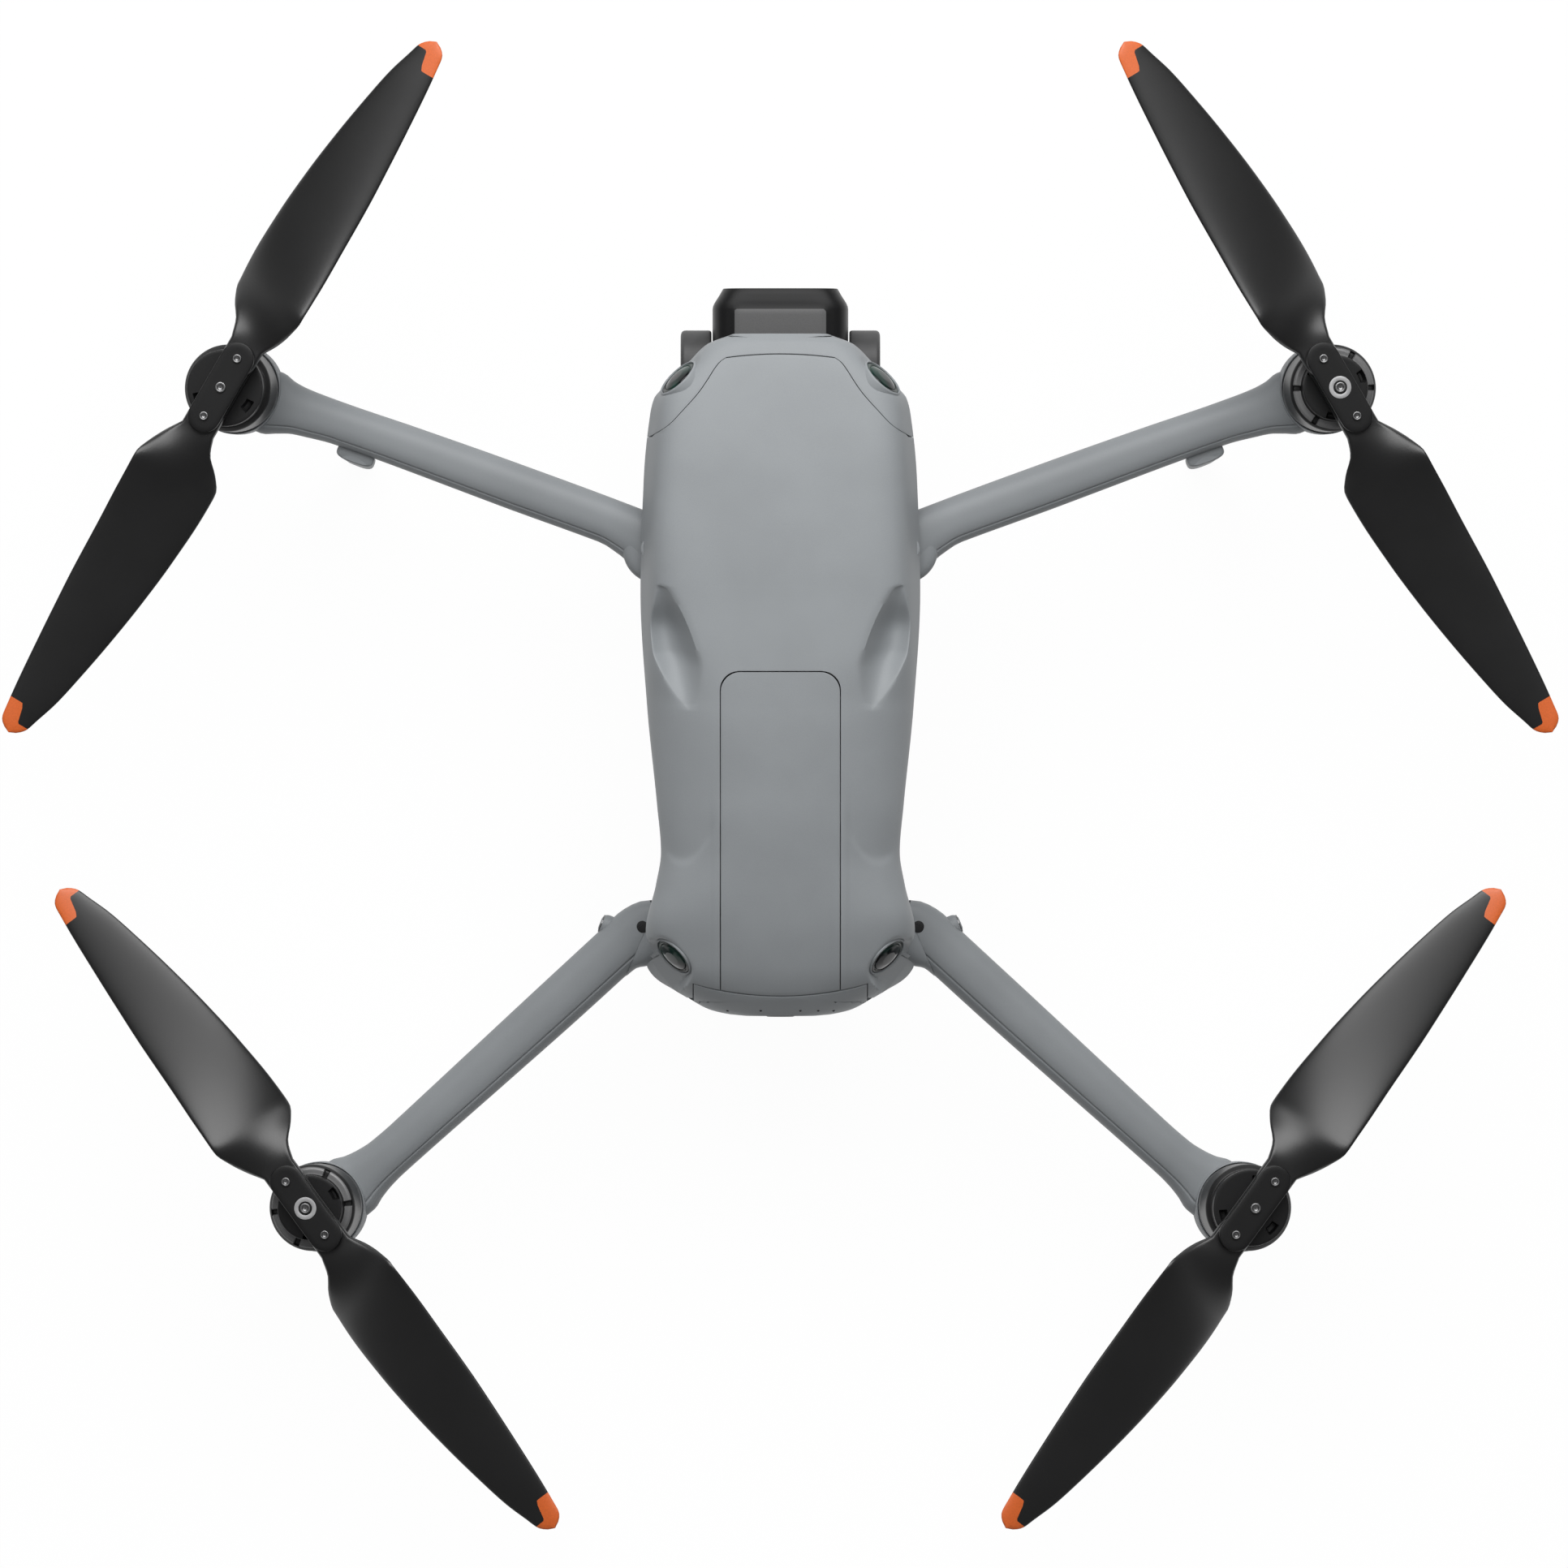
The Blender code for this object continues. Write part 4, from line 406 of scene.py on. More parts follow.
def bar(at, low, high, half_height, power, columns=56, groove=None):
    """Closed bar along x: a superellipse section between the two edges at each station, closed at the ends.

    The groove is (bearing of its middle, width, depth): the section is drawn in there by a bell curve.
    """
    angle = np.arange(columns) / columns * 2 * math.pi
    if groove:
        centre, width, depth = groove
        extra = centre + width * np.array(GROOVE_COLUMNS)
        angle = np.sort(np.concatenate([angle, extra % (2 * math.pi)]))
    across, up = superellipse(angle, power)
    draw = np.ones_like(angle)
    if groove:
        apart = (angle - centre + math.pi) % (2 * math.pi) - math.pi
        draw = 1.0 - depth * np.exp(-(apart / (0.5 * width)) ** 2)
    at, low, high, half_height = np.broadcast_arrays(at, low, high, half_height)
    middle, half = (low + high) / 2, (high - low) / 2
    y = middle[:, None] + half[:, None] * across * draw
    z = half_height[:, None] * up * draw
    return capped(np.broadcast_to(at[:, None], y.shape), y, z)


def capped(x, y, z):
    """Grid of closed rings with each end ring drawn in to its middle."""
    def ends(values):
        """The rows with a row of the first row's mean before them, and of the last row's mean after them."""
        first, last = values[:1], values[-1:]
        return np.concatenate([first * 0 + first.mean(), values, last * 0 + last.mean()])
    return grid(ends(x), ends(y), ends(z), round_columns=True)


def plate(outline, inset_level):
    """Plate over a closed outline: rows of (inset, height), the outline drawn in along its normal."""
    outline = np.asarray(outline, float)
    ahead, behind = np.roll(outline, -1, 0), np.roll(outline, 1, 0)
    tangent = ahead - behind
    normal = np.stack([-tangent[:, 1], tangent[:, 0]], 1) / np.linalg.norm(tangent, axis=1)[:, None]
    inset, level = np.asarray(inset_level, float).T
    plan = outline[None] + normal[None] * inset[:, None, None]
    return grid(plan[..., 0], plan[..., 1], level[:, None] + 0 * plan[..., 0], round_columns=True)


def stadium(half_spacing, radius, steps=20):
    """Closed outline of a plate with round ends along x."""
    turn = np.linspace(-math.pi / 2, math.pi / 2, steps)
    right = np.stack([half_spacing + radius * np.cos(turn), radius * np.sin(turn)], 1)
    return np.concatenate([right, -right])


def outward(points):
    """Rows of unit vectors."""
    points = np.asarray(points, float)
    return points / np.linalg.norm(points, axis=-1, keepdims=True)


def facing(direction):
    """Axes whose third is the direction and whose first is level."""
    z = outward(direction)
    x = outward(np.cross((0.0, 0.0, 1.0), z)) if abs(z[2]) < 0.999 else np.array((1.0, 0.0, 0.0))
    return np.stack([x, np.cross(z, x), z])


def on_side(point, side):
    """A point of the right side, or its mirror image on the left."""
    return np.array((side * point[0], point[1], point[2]))


def values_at(stations, at):
    """The two values that each station holds after its place, both smoothed between the stations."""
    return (smooth([(place, first) for place, first, _ in stations], at),
            smooth([(place, second) for place, _, second in stations], at))


def rows_between(low, high, count):
    """Even positions from low to high."""
    return np.linspace(low, high, count + 1)


def rows_through(stops, counts):
    """Positions through the stops, even between each two of them."""
    parts = [rows_between(*ends) for ends in zip(stops, stops[1:], counts)]
    return np.concatenate([parts[0], *(part[1:] for part in parts[1:])])


# Shader maths

class Wire:
    """A socket in a node tree: arithmetic on wires and numbers adds Math nodes, node() adds any other."""

    def __init__(self, tree, socket=None):
        self.tree = tree
        self.socket = socket

    def node(self, kind, settings=None, values=None, out=0):
        """A node of that type: its settings are made first, then its sockets; returns one of its outputs."""
        made = self.tree.nodes.new(kind)
        for name, value in (settings or {}).items():
            setattr(made, name, value)
        for name, value in (values or {}).items():
            if isinstance(value, Wire):
                self.tree.links.new(value.socket, made.inputs[name])
            else:
                made.inputs[name].default_value = value
        return Wire(self.tree, made.outputs[out])

    def maths(self, operation, *values):
        """A Math node of that operation on wires and numbers."""
        return self.node("ShaderNodeMath", {"operation": operation}, dict(enumerate(values)))

    def __add__(self, other):
        return self.maths("ADD", self, other)

    def __sub__(self, other):
        return self.maths("SUBTRACT", self, other)

    def __rsub__(self, other):
        return self.maths("SUBTRACT", other, self)

    def __mul__(self, other):
        return self.maths("MULTIPLY", self, other)

    __radd__ = __add__
    __rmul__ = __mul__

    def step(self, low, high):
        """Smooth step of the value from low to high."""
        return self.node("ShaderNodeMapRange", {"interpolation_type": "SMOOTHSTEP"},
                         {"Value": self, "From Min": low, "From Max": high})

    def mix(self, first, second):
        """Colour between two, this wire being the share of the second."""
        return self.node("ShaderNodeMix", {"data_type": "RGBA"}, {0: self, 6: first, 7: second}, 2)

    def noise(self, scale, detail=2.0):
        """Noise read at this vector."""
        return self.node("ShaderNodeTexNoise", None, {"Vector": self, "Scale": scale, "Detail": detail})


class Finish:
    """A material in the making: the starting wire of its tree, the place on the piece, and its shader."""

    def __init__(self, name):
        self.material = bpy.data.materials.new(name)
        self.material.use_nodes = True
        self.tree = self.material.node_tree
        self.shader = self.tree.nodes["Principled BSDF"]
        self.start = Wire(self.tree)
        self.place = self.start.node("ShaderNodeTexCoord", None, None, "Object")

    def attribute(self, name):
        """A value stored on the piece's points."""
        return self.start.node("ShaderNodeAttribute", {"attribute_name": name}, None, "Fac")

    def set(self, **sockets):
        """Shader sockets by name, underscores for spaces: numbers and colours are set, wires are linked."""
        for name, value in sockets.items():
            socket = self.shader.inputs[name.replace("_", " ")]
            if isinstance(value, Wire):
                self.tree.links.new(value.socket, socket)
            else:
                socket.default_value = value
        return self

    def bump(self, height, strength, distance):
        """Bump of that height into the normal."""
        values = {"Strength": strength, "Distance": distance, "Height": height}
        return self.set(Normal=self.start.node("ShaderNodeBump", None, values))


def shade(colour, factor):
    """A colour made lighter or darker."""
    return (*(min(1.0, channel * factor) for channel in tuple(colour)[:3]), 1.0)


def moulded_plastic(name, colour, roughness, grain=5200.0, contrast=0.06, strength=0.25):
    """Spark-eroded plastic: a fine even grain in bump, with slow mottling of the colour and the gloss."""
    finish = Finish(name)
    fine = finish.place.noise(grain, detail=1.0)
    slow = finish.place.noise(38.0, detail=3.0)
    tone = fine * 0.35 + slow * 0.65
    finish.set(Base_Color=tone.step(0.3, 0.7).mix(shade(colour, 1 - contrast), shade(colour, 1 + contrast)))
    finish.set(Roughness=roughness - 0.05 + slow * 0.1, Specular_IOR_Level=0.4)
    return finish.bump(fine, strength, distance=0.00004).material


def blade_plastic(name, colour, tip_colour, roughness):
    """Glass-filled nylon with a faint slow mottling; the painted tip is the mark stored on the points."""
    finish = Finish(name)
    fine = finish.place.noise(2600.0, detail=2.0)
    flow = finish.place.noise(60.0, detail=3.0)
    body = flow.step(0.3, 0.7).mix(shade(colour, 0.85), shade(colour, 1.15))
    paint = fine.step(0.3, 0.7).mix(shade(tip_colour, 0.94), shade(tip_colour, 1.05))
    tip = finish.attribute("tip").step(-0.05, 0.05)
    finish.set(Base_Color=tip.mix(body, paint), Roughness=roughness - 0.04 + fine * 0.08 + tip * 0.12,
               Specular_IOR_Level=0.8)
    return finish.bump(fine, strength=0.12, distance=0.00003).material


def turned_metal(name, colour, roughness, metallic=1.0):
    """Metal with fine tool marks and small changes of gloss."""
    finish = Finish(name)
    marks = finish.place.noise(4200.0, detail=2.0)
    slow = finish.place.noise(240.0, detail=2.0)
    finish.set(Base_Color=slow.step(0.3, 0.7).mix(shade(colour, 0.9), shade(colour, 1.08)),
               Roughness=roughness - 0.06 + marks * 0.12, Metallic=metallic)
    return finish.bump(marks, strength=0.1, distance=0.00002).material


def motor_metal(name, colour, band_colour, roughness):
    """Black-coated motor with the pale bare bands stored on the points."""
    finish = Finish(name)
    marks = finish.place.noise(3600.0, detail=2.0)
    bare = finish.attribute("bare").step(0.35, 0.65)
    band = marks.step(0.2, 0.8).mix(shade(band_colour, 0.85), band_colour)
    finish.set(Base_Color=bare.mix(shade(colour, 1.0), band),
               Roughness=roughness - 0.05 + marks * 0.1, Metallic=bare * 0.4)
    return finish.bump(marks, strength=0.15, distance=0.00002).material


def coated_glass(name, colour, coating_glint):
    """Dark window with a thin coloured film, whose greenish glint is painted into the colour as a slow
    ripple: a painted reflection.
    """
    finish = Finish(name)
    ripple = finish.place.noise(160.0, detail=1.0)
    # Painted reflection: the film's greenish glint mixed into the base colour
    finish.set(Base_Color=ripple.step(0.35, 0.75).mix(colour, coating_glint), Roughness=0.10 + ripple * 0.08,
               Specular_IOR_Level=0.2)
    return finish.material


def camera_skin(name, colour, panel_colour, roughness):
    """Camera body: dark sides with the paler cover stored on the points, both finely grained."""
    finish = Finish(name)
    fine = finish.place.noise(4800.0, detail=1.0)
    cover = finish.attribute("cover").step(0.4, 0.6)
    dark = fine.step(0.2, 0.8).mix(shade(colour, 0.85), shade(colour, 1.15))
    pale = fine.step(0.2, 0.8).mix(shade(panel_colour, 0.93), shade(panel_colour, 1.07))
    finish.set(Base_Color=cover.mix(dark, pale), Roughness=roughness - 0.05 + fine * 0.1,
               Specular_IOR_Level=0.25)
    return finish.bump(fine, strength=0.2, distance=0.00004).material


def circuit_board(name, colour):
    """Solder mask over a fine lattice of tracks."""
    finish = Finish(name)
    pattern = {"feature": "DISTANCE_TO_EDGE", "distance": "EUCLIDEAN"}
    values = {"Vector": finish.place, "Scale": 520.0}
    track = finish.place.node("ShaderNodeTexVoronoi", pattern, values)
    finish.set(Base_Color=track.step(0.02, 0.08).mix(shade(colour, 1.5), colour),
               Roughness=0.35 + track * 0.3)
    return finish.bump(track.step(0.02, 0.08), strength=0.3, distance=0.00005).material


# Settings

def colour_setting(name, description, default):
    """A colour that a user may change."""
    return bpy.props.FloatVectorProperty(name=name, description=description, default=default, size=4,
                                         subtype="COLOR", min=0.0, max=1.0)


def length_setting(name, description, default):
    """A length that a user may change."""
    return bpy.props.FloatProperty(name=name, description=description, default=default, unit="LENGTH",
                                   precision=5)


def light_setting(name, description, default):
    """A power or strength of light that a user may change."""
    return bpy.props.FloatProperty(name=name, description=description, default=default, min=0.0)


class DroneFinishes(bpy.types.PropertyGroup):
    """Colours of the finishes, scene-linear."""
    shell: colour_setting("Shell", "Grey plastic of the body, arms and battery", (0.300, 0.318, 0.332, 1.0))
    trim: colour_setting("Trim", "Plastic of the nose rim", (0.300, 0.318, 0.332, 1.0))
    blade: colour_setting("Blade", "Black plastic of the blades and hubs", (0.0065, 0.0065, 0.0068, 1.0))
    tip: colour_setting("Blade tip", "Paint on the blade tips", (0.740, 0.135, 0.018, 1.0))
    motor: colour_setting("Motor", "Coating of the motor bells", (0.007, 0.007, 0.0074, 1.0))
    band: colour_setting("Motor band", "Bare metal bands on the motors", (0.210, 0.210, 0.212, 1.0))
    camera: colour_setting("Camera", "Sides of the camera body", (0.009, 0.009, 0.0095, 1.0))
    cover: colour_setting("Camera cover", "Cover plate on the camera", (0.120, 0.120, 0.121, 1.0))
    pod: colour_setting("Gimbal pod", "Metal of the gimbal motors", (0.058, 0.058, 0.059, 1.0))
    glass: colour_setting("Glass", "Lens and sensor windows", (0.004, 0.005, 0.006, 1.0))
    # Greenish glint of the window film, painted into the glass colour: a painted reflection
    coating_glint: colour_setting("Coating", "Coating seen in the glass", (0.010, 0.040, 0.030, 1.0))
    steel: colour_setting("Steel", "Screws and pins", (0.330, 0.330, 0.334, 1.0))
    rubber: colour_setting("Rubber", "Feet and soft tips", (0.030, 0.030, 0.031, 1.0))


class DroneSizes(bpy.types.PropertyGroup):
    """Sizes of the visible walls and edges."""
    wall: length_setting("Shell wall", "Thickness of the moulded shells", 0.0012)
    edge: length_setting("Edge", "Bevel along the shell seams", 0.00025)
    tip: length_setting("Tip paint", "Length of paint along a blade's leading edge", 0.0090)


class DroneStage(bpy.types.PropertyGroup):
    """Camera, light and floor."""
    frame_width: length_setting("Frame width", "Width of the view at the object", 0.43125)
    distance: length_setting("Camera height", "Height of the camera over the ground", 6.0)
    key: light_setting("Key light", "Power of the front softbox", 36.0)
    fill: light_setting("Fill light", "Strength of the even surrounding light", 0.16)
    top: light_setting("Top light", "Power of the wide softbox overhead", 7.0)
    floor: colour_setting("Floor", "Colour of the floor", (0.50, 0.50, 0.50, 1.0))


def settings():
    """The three groups of settings on the scene."""
    scene = bpy.context.scene
    return scene.drone_finishes, scene.drone_sizes, scene.drone_stage


MATERIALS = {}
BOARD_GREEN, CELL_BLUE = (0.020, 0.110, 0.050, 1.0), (0.090, 0.100, 0.120, 1.0)
MERGE_WITHIN, NO_AREA_WITHIN, BEVEL_FROM = 3e-6, 1e-6, 50.0


def finishes():
    """All finishes of the object by name, made once from the settings."""
    if MATERIALS:
        return MATERIALS
    tone = settings()[0]
    MATERIALS.update(
        shell=moulded_plastic("shell_grey_grain", tone.shell, 0.50),
        # The arms' finish is the shell's grey made darker
        arm=moulded_plastic("arm_grey_grain", shade(tone.shell, 0.83), 0.50),
        battery=moulded_plastic("battery_grey_grain", shade(tone.shell, 0.97), 0.52),
        trim=moulded_plastic("trim_grey_grain", tone.trim, 0.50),
        blade=blade_plastic("blade_black_nylon", tone.blade, tone.tip, 0.36),
        hub=moulded_plastic("hub_black_nylon", tone.blade, 0.45, grain=4200.0, contrast=0.2, strength=0.2),
        motor=motor_metal("motor_black_coat", tone.motor, tone.band, 0.40),
        base=turned_metal("motor_base_metal", tone.band, 0.42, metallic=0.8),
        camera=camera_skin("camera_black_skin", tone.camera, tone.cover, 0.42),
        # Dark plastic, also used for the painted shade under the nose seam and over the rear hinges
        dark=moulded_plastic("dark_moulding", tone.camera, 0.48, grain=4600.0, contrast=0.15),
        pod=turned_metal("gimbal_metal", tone.pod, 0.50, metallic=0.15),
        glass=coated_glass("coated_window", tone.glass, tone.coating_glint),
        steel=turned_metal("screw_steel", tone.steel, 0.36),
        aluminium=turned_metal("bare_aluminium", shade(tone.steel, 1.5), 0.45, metallic=0.5),
        rubber=moulded_plastic("soft_rubber", tone.rubber, 0.80, grain=3000.0, contrast=0.2, strength=0.5),
        board=circuit_board("green_board", BOARD_GREEN),
        wrap=moulded_plastic("cell_wrap", CELL_BLUE, 0.45, grain=900.0, contrast=0.2, strength=0.4),
    )
    return MATERIALS


def piece(name, surface, body, finish, stands_for=(), wall=0.0, edge=0.0, marks=None, sharp=38.0):
    """One named piece from a surface: doubles merged, faces outwards, finish given, on its body."""
    points, quads = surface
    mesh = bpy.data.meshes.new(name)
    mesh.from_pydata(np.asarray(points, float).tolist(), [], quads.tolist())
    for label, values in (marks or {}).items():
        layer = mesh.attributes.new(label, "FLOAT", "POINT")
        layer.data.foreach_set("value", np.asarray(values, np.float32).ravel())
    work = bmesh.new()
    work.from_mesh(mesh)
    bmesh.ops.remove_doubles(work, verts=work.verts, dist=MERGE_WITHIN)
    bmesh.ops.dissolve_degenerate(work, dist=NO_AREA_WITHIN, edges=work.edges)
    bmesh.ops.recalc_face_normals(work, faces=work.faces)
    work.to_mesh(mesh)
    work.free()
    mesh.shade_smooth()
    mesh.set_sharp_from_angle(angle=math.radians(sharp))
    made = bpy.data.objects.new(name, mesh)
    bpy.context.scene.collection.objects.link(made)
    mesh.materials.append(finishes()[finish])
    if wall:
        solid = made.modifiers.new("wall", "SOLIDIFY")
        solid.thickness = wall
        solid.offset = -1.0
    if edge:
        bevel = made.modifiers.new("edge", "BEVEL")
        bevel.width = edge
        bevel.segments = 2
        bevel.limit_method = "ANGLE"
        bevel.angle_limit = math.radians(BEVEL_FROM)
    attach(made, body)
    if stands_for:
        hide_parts(*stands_for)
    return made


# Upper body

def body_at(y):
    """Half width, waist height, rise, squareness and draft of the upper body at forward positions."""
    rim = smooth(BODY_WAIST, y)
    return (smooth(BODY_HALF_WIDTH, y), rim, smooth(BODY_TOP, y) - rim, smooth(BODY_SQUARENESS, y),
            smooth(BODY_DRAFT, y))


def bearing(y, x):
    """Bearing where the body's section at y passes over the distance x from the middle, found by halving."""
    half, _, _, power, draft = body_at(y)
    low = np.zeros(np.broadcast(y, x).shape)
    high = low + math.pi / 2
    for _ in range(26):
        middle = (low + high) / 2
        across, up = superellipse(middle, power)
        beyond = half * across * (1.0 - draft * up) > x
        low, high = np.where(beyond, middle, low), np.where(beyond, high, middle)
    return (low + high) / 2


def section_height(y, x):
    """Height of the plain body section over a distance from the middle."""
    _, rim, rise, power, _ = body_at(y)
    return rim + rise * superellipse(bearing(y, x), power)[1]


def hollow(x, y, z):
    """Shoulder hollow: its floor falls outwards as a power of the way, and sinks between its ends.

    Floor and section meet by a soft minimum: half of their sum less the root of their squared difference
    plus a width.
    """
    inner, outer = smooth(HOLLOW_INNER, y), smooth(HOLLOW_OUTER, y)
    share = (np.abs(x) - inner) / (outer - inner)
    high, low = section_height(y, inner), section_height(y, outer)
    within, beyond = HOLLOW_ENDS
    rear_deep, front_deep = HOLLOW_DEEP
    sink = HOLLOW_DEPTH * ease(HOLLOW_REAR, rear_deep, y) * ease(HOLLOW_FRONT + beyond, front_deep, y)
    floor = low + (high - low) * np.clip(1.0 - share, 0.0, HOLLOW_STEEPEST) ** HOLLOW_POWER
    floor = floor - sink * np.sin(math.pi * np.clip(share, 0.0, 1.0))
    floor = floor + HOLLOW_LIFT * (ease(HOLLOW_REAR + within, HOLLOW_REAR - beyond, y)
                                   + ease(HOLLOW_FRONT - within, HOLLOW_FRONT + beyond, y))
    return (z + floor - np.sqrt((z - floor) ** 2 + HOLLOW_SOFT ** 2)) / 2


def dents(x, y):
    """Depth of a parabolic crease ahead of the rear block, and of the faint step beside the battery panel."""
    across = np.abs(x)
    behind = y - CREASE_REAR - CREASE_CURVE * (across - CREASE_MIDDLE) ** 2
    crease = ease(*CREASE_LIP, behind) * np.exp(-np.maximum(behind, 0.0) / CREASE_RUN) * CREASE_DEPTH
    ridge = RIDGE_DROP * ease(*RIDGE_STEP, across) * ease(*RIDGE_END, y)
    return crease * ease(*CREASE_INNER, across) * ease(*CREASE_OUTER, across) + ridge


def arch(y, angle):
    """Upper body: a superellipse over the rim, drawn in towards the top by the draft, less the dents.

    Beside the roots of the rear arms its width ends at the slanting split between body and arm.
    """
    half, rim, rise, power, draft = body_at(y)
    across, up = superellipse(angle, power)
    x, z = half * across * (1.0 - draft * up), rim + rise * up
    z = hollow(x, y, np.maximum(z - dents(x, y), np.minimum(z, rim)))
    split = ARM_SPLIT_X + (y - ARM_SPLIT_Y) * ARM_SPLIT_SLOPE + ARM_SPLIT_OPENING * ease(*ARM_SPLIT_END, y)
    x = np.where((y < ARM_SPLIT_FRONT) & (z > ARM_SPLIT_FOOT), np.minimum(x, split), x)
    return x, z


def skinned(y, stops, counts, flange=0, bow=None):
    """Patch of the upper body over rows y and columns between bearings, after a flat flange inside the rim.

    The bow moves each point forward by a function of its x and its row's share of the way.
    """
    angle = stepped(stops, counts)
    rows = np.broadcast_to(y[:, None], angle.shape)
    x, z = arch(rows, angle)
    if bow:
        rows = rows + bow(x, np.linspace(0.0, 1.0, len(y))[:, None])
        z = arch(rows, bearing(rows, x))[1]
    if flange:
        inner, half, rim = smooth(FLANGE_INNER, y), x[:, 0], np.minimum(smooth(BODY_RIM, y), z[:, 0])
        share = np.arange(flange + 1)[None] / flange
        lead = inner[:, None] + (np.maximum(half, inner) - inner)[:, None] * share
        x = np.concatenate([lead, x], 1)
        z = np.concatenate([np.repeat(rim[:, None], flange + 1, 1), z], 1)
        rows = np.concatenate([np.repeat(rows[:, :1], flange + 1, 1), rows], 1)
    return grid(x, rows, z)


def seam_x(y):
    """Distance of the nose seam from the middle."""
    return smooth(TRIM_SEAM, y)


def seam_bow(x):
    """How far the front of the nose seam bows forward: a parabola between its corners."""
    return TRIM_BOW * np.clip(1.0 - (x / TRIM_SEAM[-1][1]) ** 2, 0.0, 1.0)


def shell_outer(y):
    """Where the shell's steep side begins, or its seam with the nose rim."""
    seam = np.where(y < TRIM_SEAM[0][0] - 2 * SEAM_GAP, 1.0, seam_x(y) - SEAM_GAP)
    return np.minimum(seam, smooth(BODY_HALF_WIDTH, y) - SHELL_INSET)


def plate_seam(x):
    """Forward position of the seam between shell and end plate: a shallow parabola."""
    return PLATE_SEAM_MIDDLE + PLATE_SEAM_RISE * (np.asarray(x) / PLATE_HALF_WIDTH) ** 2


def panel_edge(y, grown):
    """Half width of the battery panel with its round front corners."""
    front = PANEL_FRONT + grown
    past = np.clip(y - (front - PANEL_CORNER), 0.0, PANEL_CORNER)
    return PANEL_HALF_WIDTH + grown - PANEL_CORNER + np.sqrt(PANEL_CORNER ** 2 - past ** 2)


def corner_rows(front):
    """Forward positions round a front corner of the battery panel, closer together towards its front."""
    return front - PANEL_CORNER + np.sin(np.linspace(0.0, math.pi / 2, 9)[1:]) * PANEL_CORNER


def upper_shell_surface():
    """Right half of the top shell in four patches that share their columns, and its mirror image."""
    def bearings(y, *lines):
        """Bearings at which the lines run."""
        return [bearing(y, line) for line in lines]

    def stops(y, edge):
        """Bearings of the rim, the steep side, the hollow's two edges and the given inner edge."""
        return [0 * y, *bearings(y, shell_outer(y), smooth(HOLLOW_OUTER, y), smooth(HOLLOW_INNER, y), edge)]

    def plate_bow(x, share):
        """Beside the end plate the first rows follow its curved seam."""
        return (1 - share) ** PLATE_FADE * np.where(x < plate_x, plate_seam(x) + SEAM_GAP - start, 0.0)

    plate_x = PLATE_HALF_WIDTH + SEAM_GAP
    start = plate_seam(plate_x) + SEAM_GAP
    rear_y = rows_between(SHELL_TAIL, start, 6)
    outer = shell_outer(rear_y)
    between = plate_x + SHELL_TAIL_SHARE * (outer - plate_x)
    rear_stops = [0 * rear_y, *bearings(rear_y, outer, between, plate_x + 0 * rear_y)]
    rear = skinned(rear_y, rear_stops, SHELL_COLUMNS[:3], SHELL_FLANGE)
    front = PANEL_FRONT + SEAM_GAP
    side_y = np.concatenate([rows_between(start, front - PANEL_CORNER, 96), corner_rows(front)])
    edge = panel_edge(side_y, SEAM_GAP)
    side = skinned(side_y, stops(side_y, edge), SHELL_COLUMNS[:4], SHELL_FLANGE, plate_bow)
    front_y = rows_through((front, HOLLOW_CLOSED, TRIM_SEAM[0][0] - SHELL_LAP), (48, 46))
    top_stops = [*stops(front_y, edge[-1] + 0 * front_y), 0 * front_y + math.pi / 2]
    top = skinned(front_y, top_stops, SHELL_COLUMNS, SHELL_FLANGE)
    nose_y = rows_between(front_y[-1], TRIM_FRONT - SEAM_GAP, 28)
    outer = shell_outer(nose_y)
    first = smooth(HOLLOW_OUTER, nose_y[0]), smooth(HOLLOW_INNER, nose_y[0]), edge[-1]
    nose_stops = bearings(nose_y, outer, *(line * outer / outer[0] for line in first))
    nose = skinned(nose_y, [*nose_stops, 0 * nose_y + math.pi / 2], SHELL_COLUMNS[1:], 0,
                   lambda x, share: share ** NOSE_FADE * seam_bow(x))
    return both_halves(joined(rear, side, top, nose))


def front_trim_surface():
    """Nose rim, one half and its mirror: beside the seam, ahead of it, and the face down to the rim."""
    side_y = rows_between(TRIM_SEAM[0][0], TRIM_FRONT, 30)
    none = np.zeros_like(side_y)
    edge = np.minimum(seam_x(side_y), smooth(BODY_HALF_WIDTH, side_y) - TRIM_INSET)
    side = skinned(side_y, [none, bearing(side_y, edge)], TRIM_COLUMNS[:1], TRIM_FLANGE)
    front_y = rows_between(TRIM_FRONT, NOSE, 12)
    none = np.zeros_like(front_y)
    stops = [none, bearing(front_y, edge[-1] + none), none + math.pi / 2]
    front = skinned(front_y, stops, TRIM_COLUMNS, TRIM_FLANGE,
                    lambda x, share: (1 - share) ** TRIM_FADE * seam_bow(x))
    angle = stepped([stop[-1:] for stop in stops], TRIM_COLUMNS)
    x, z = arch(np.full_like(angle, NOSE), angle)
    rim = smooth(BODY_RIM, NOSE)
    share = np.linspace(0.0, 1.0, 6)[:, None]
    face = grid(x + 0 * share, NOSE + 0 * x + 0 * share, z + (rim - z) * share)
    return both_halves(joined(side, front, face))


def faceted(surface, end):
    """The surface cut to a flat a little under each sensor window of that end, easing out round it.

    At the rear the flat runs on down to the rim: only the distance above the window and beside it counts.
    """
    points, quads = surface
    at, look = SENSORS[end]
    for _, side in SIDES:
        facing_out = outward(on_side(look, side))
        level, up, proud = facing(facing_out) @ (points - on_side(at, side)).T
        apart = np.hypot(level, np.maximum(up, 0.0) if end == "rear" else up)
        cut = np.maximum(proud + SENSOR_SINK, 0.0) * ease(*FACET_FADE, apart)
        points = points - (cut * (proud < FACET_REACH))[:, None] * facing_out
    return points, quads


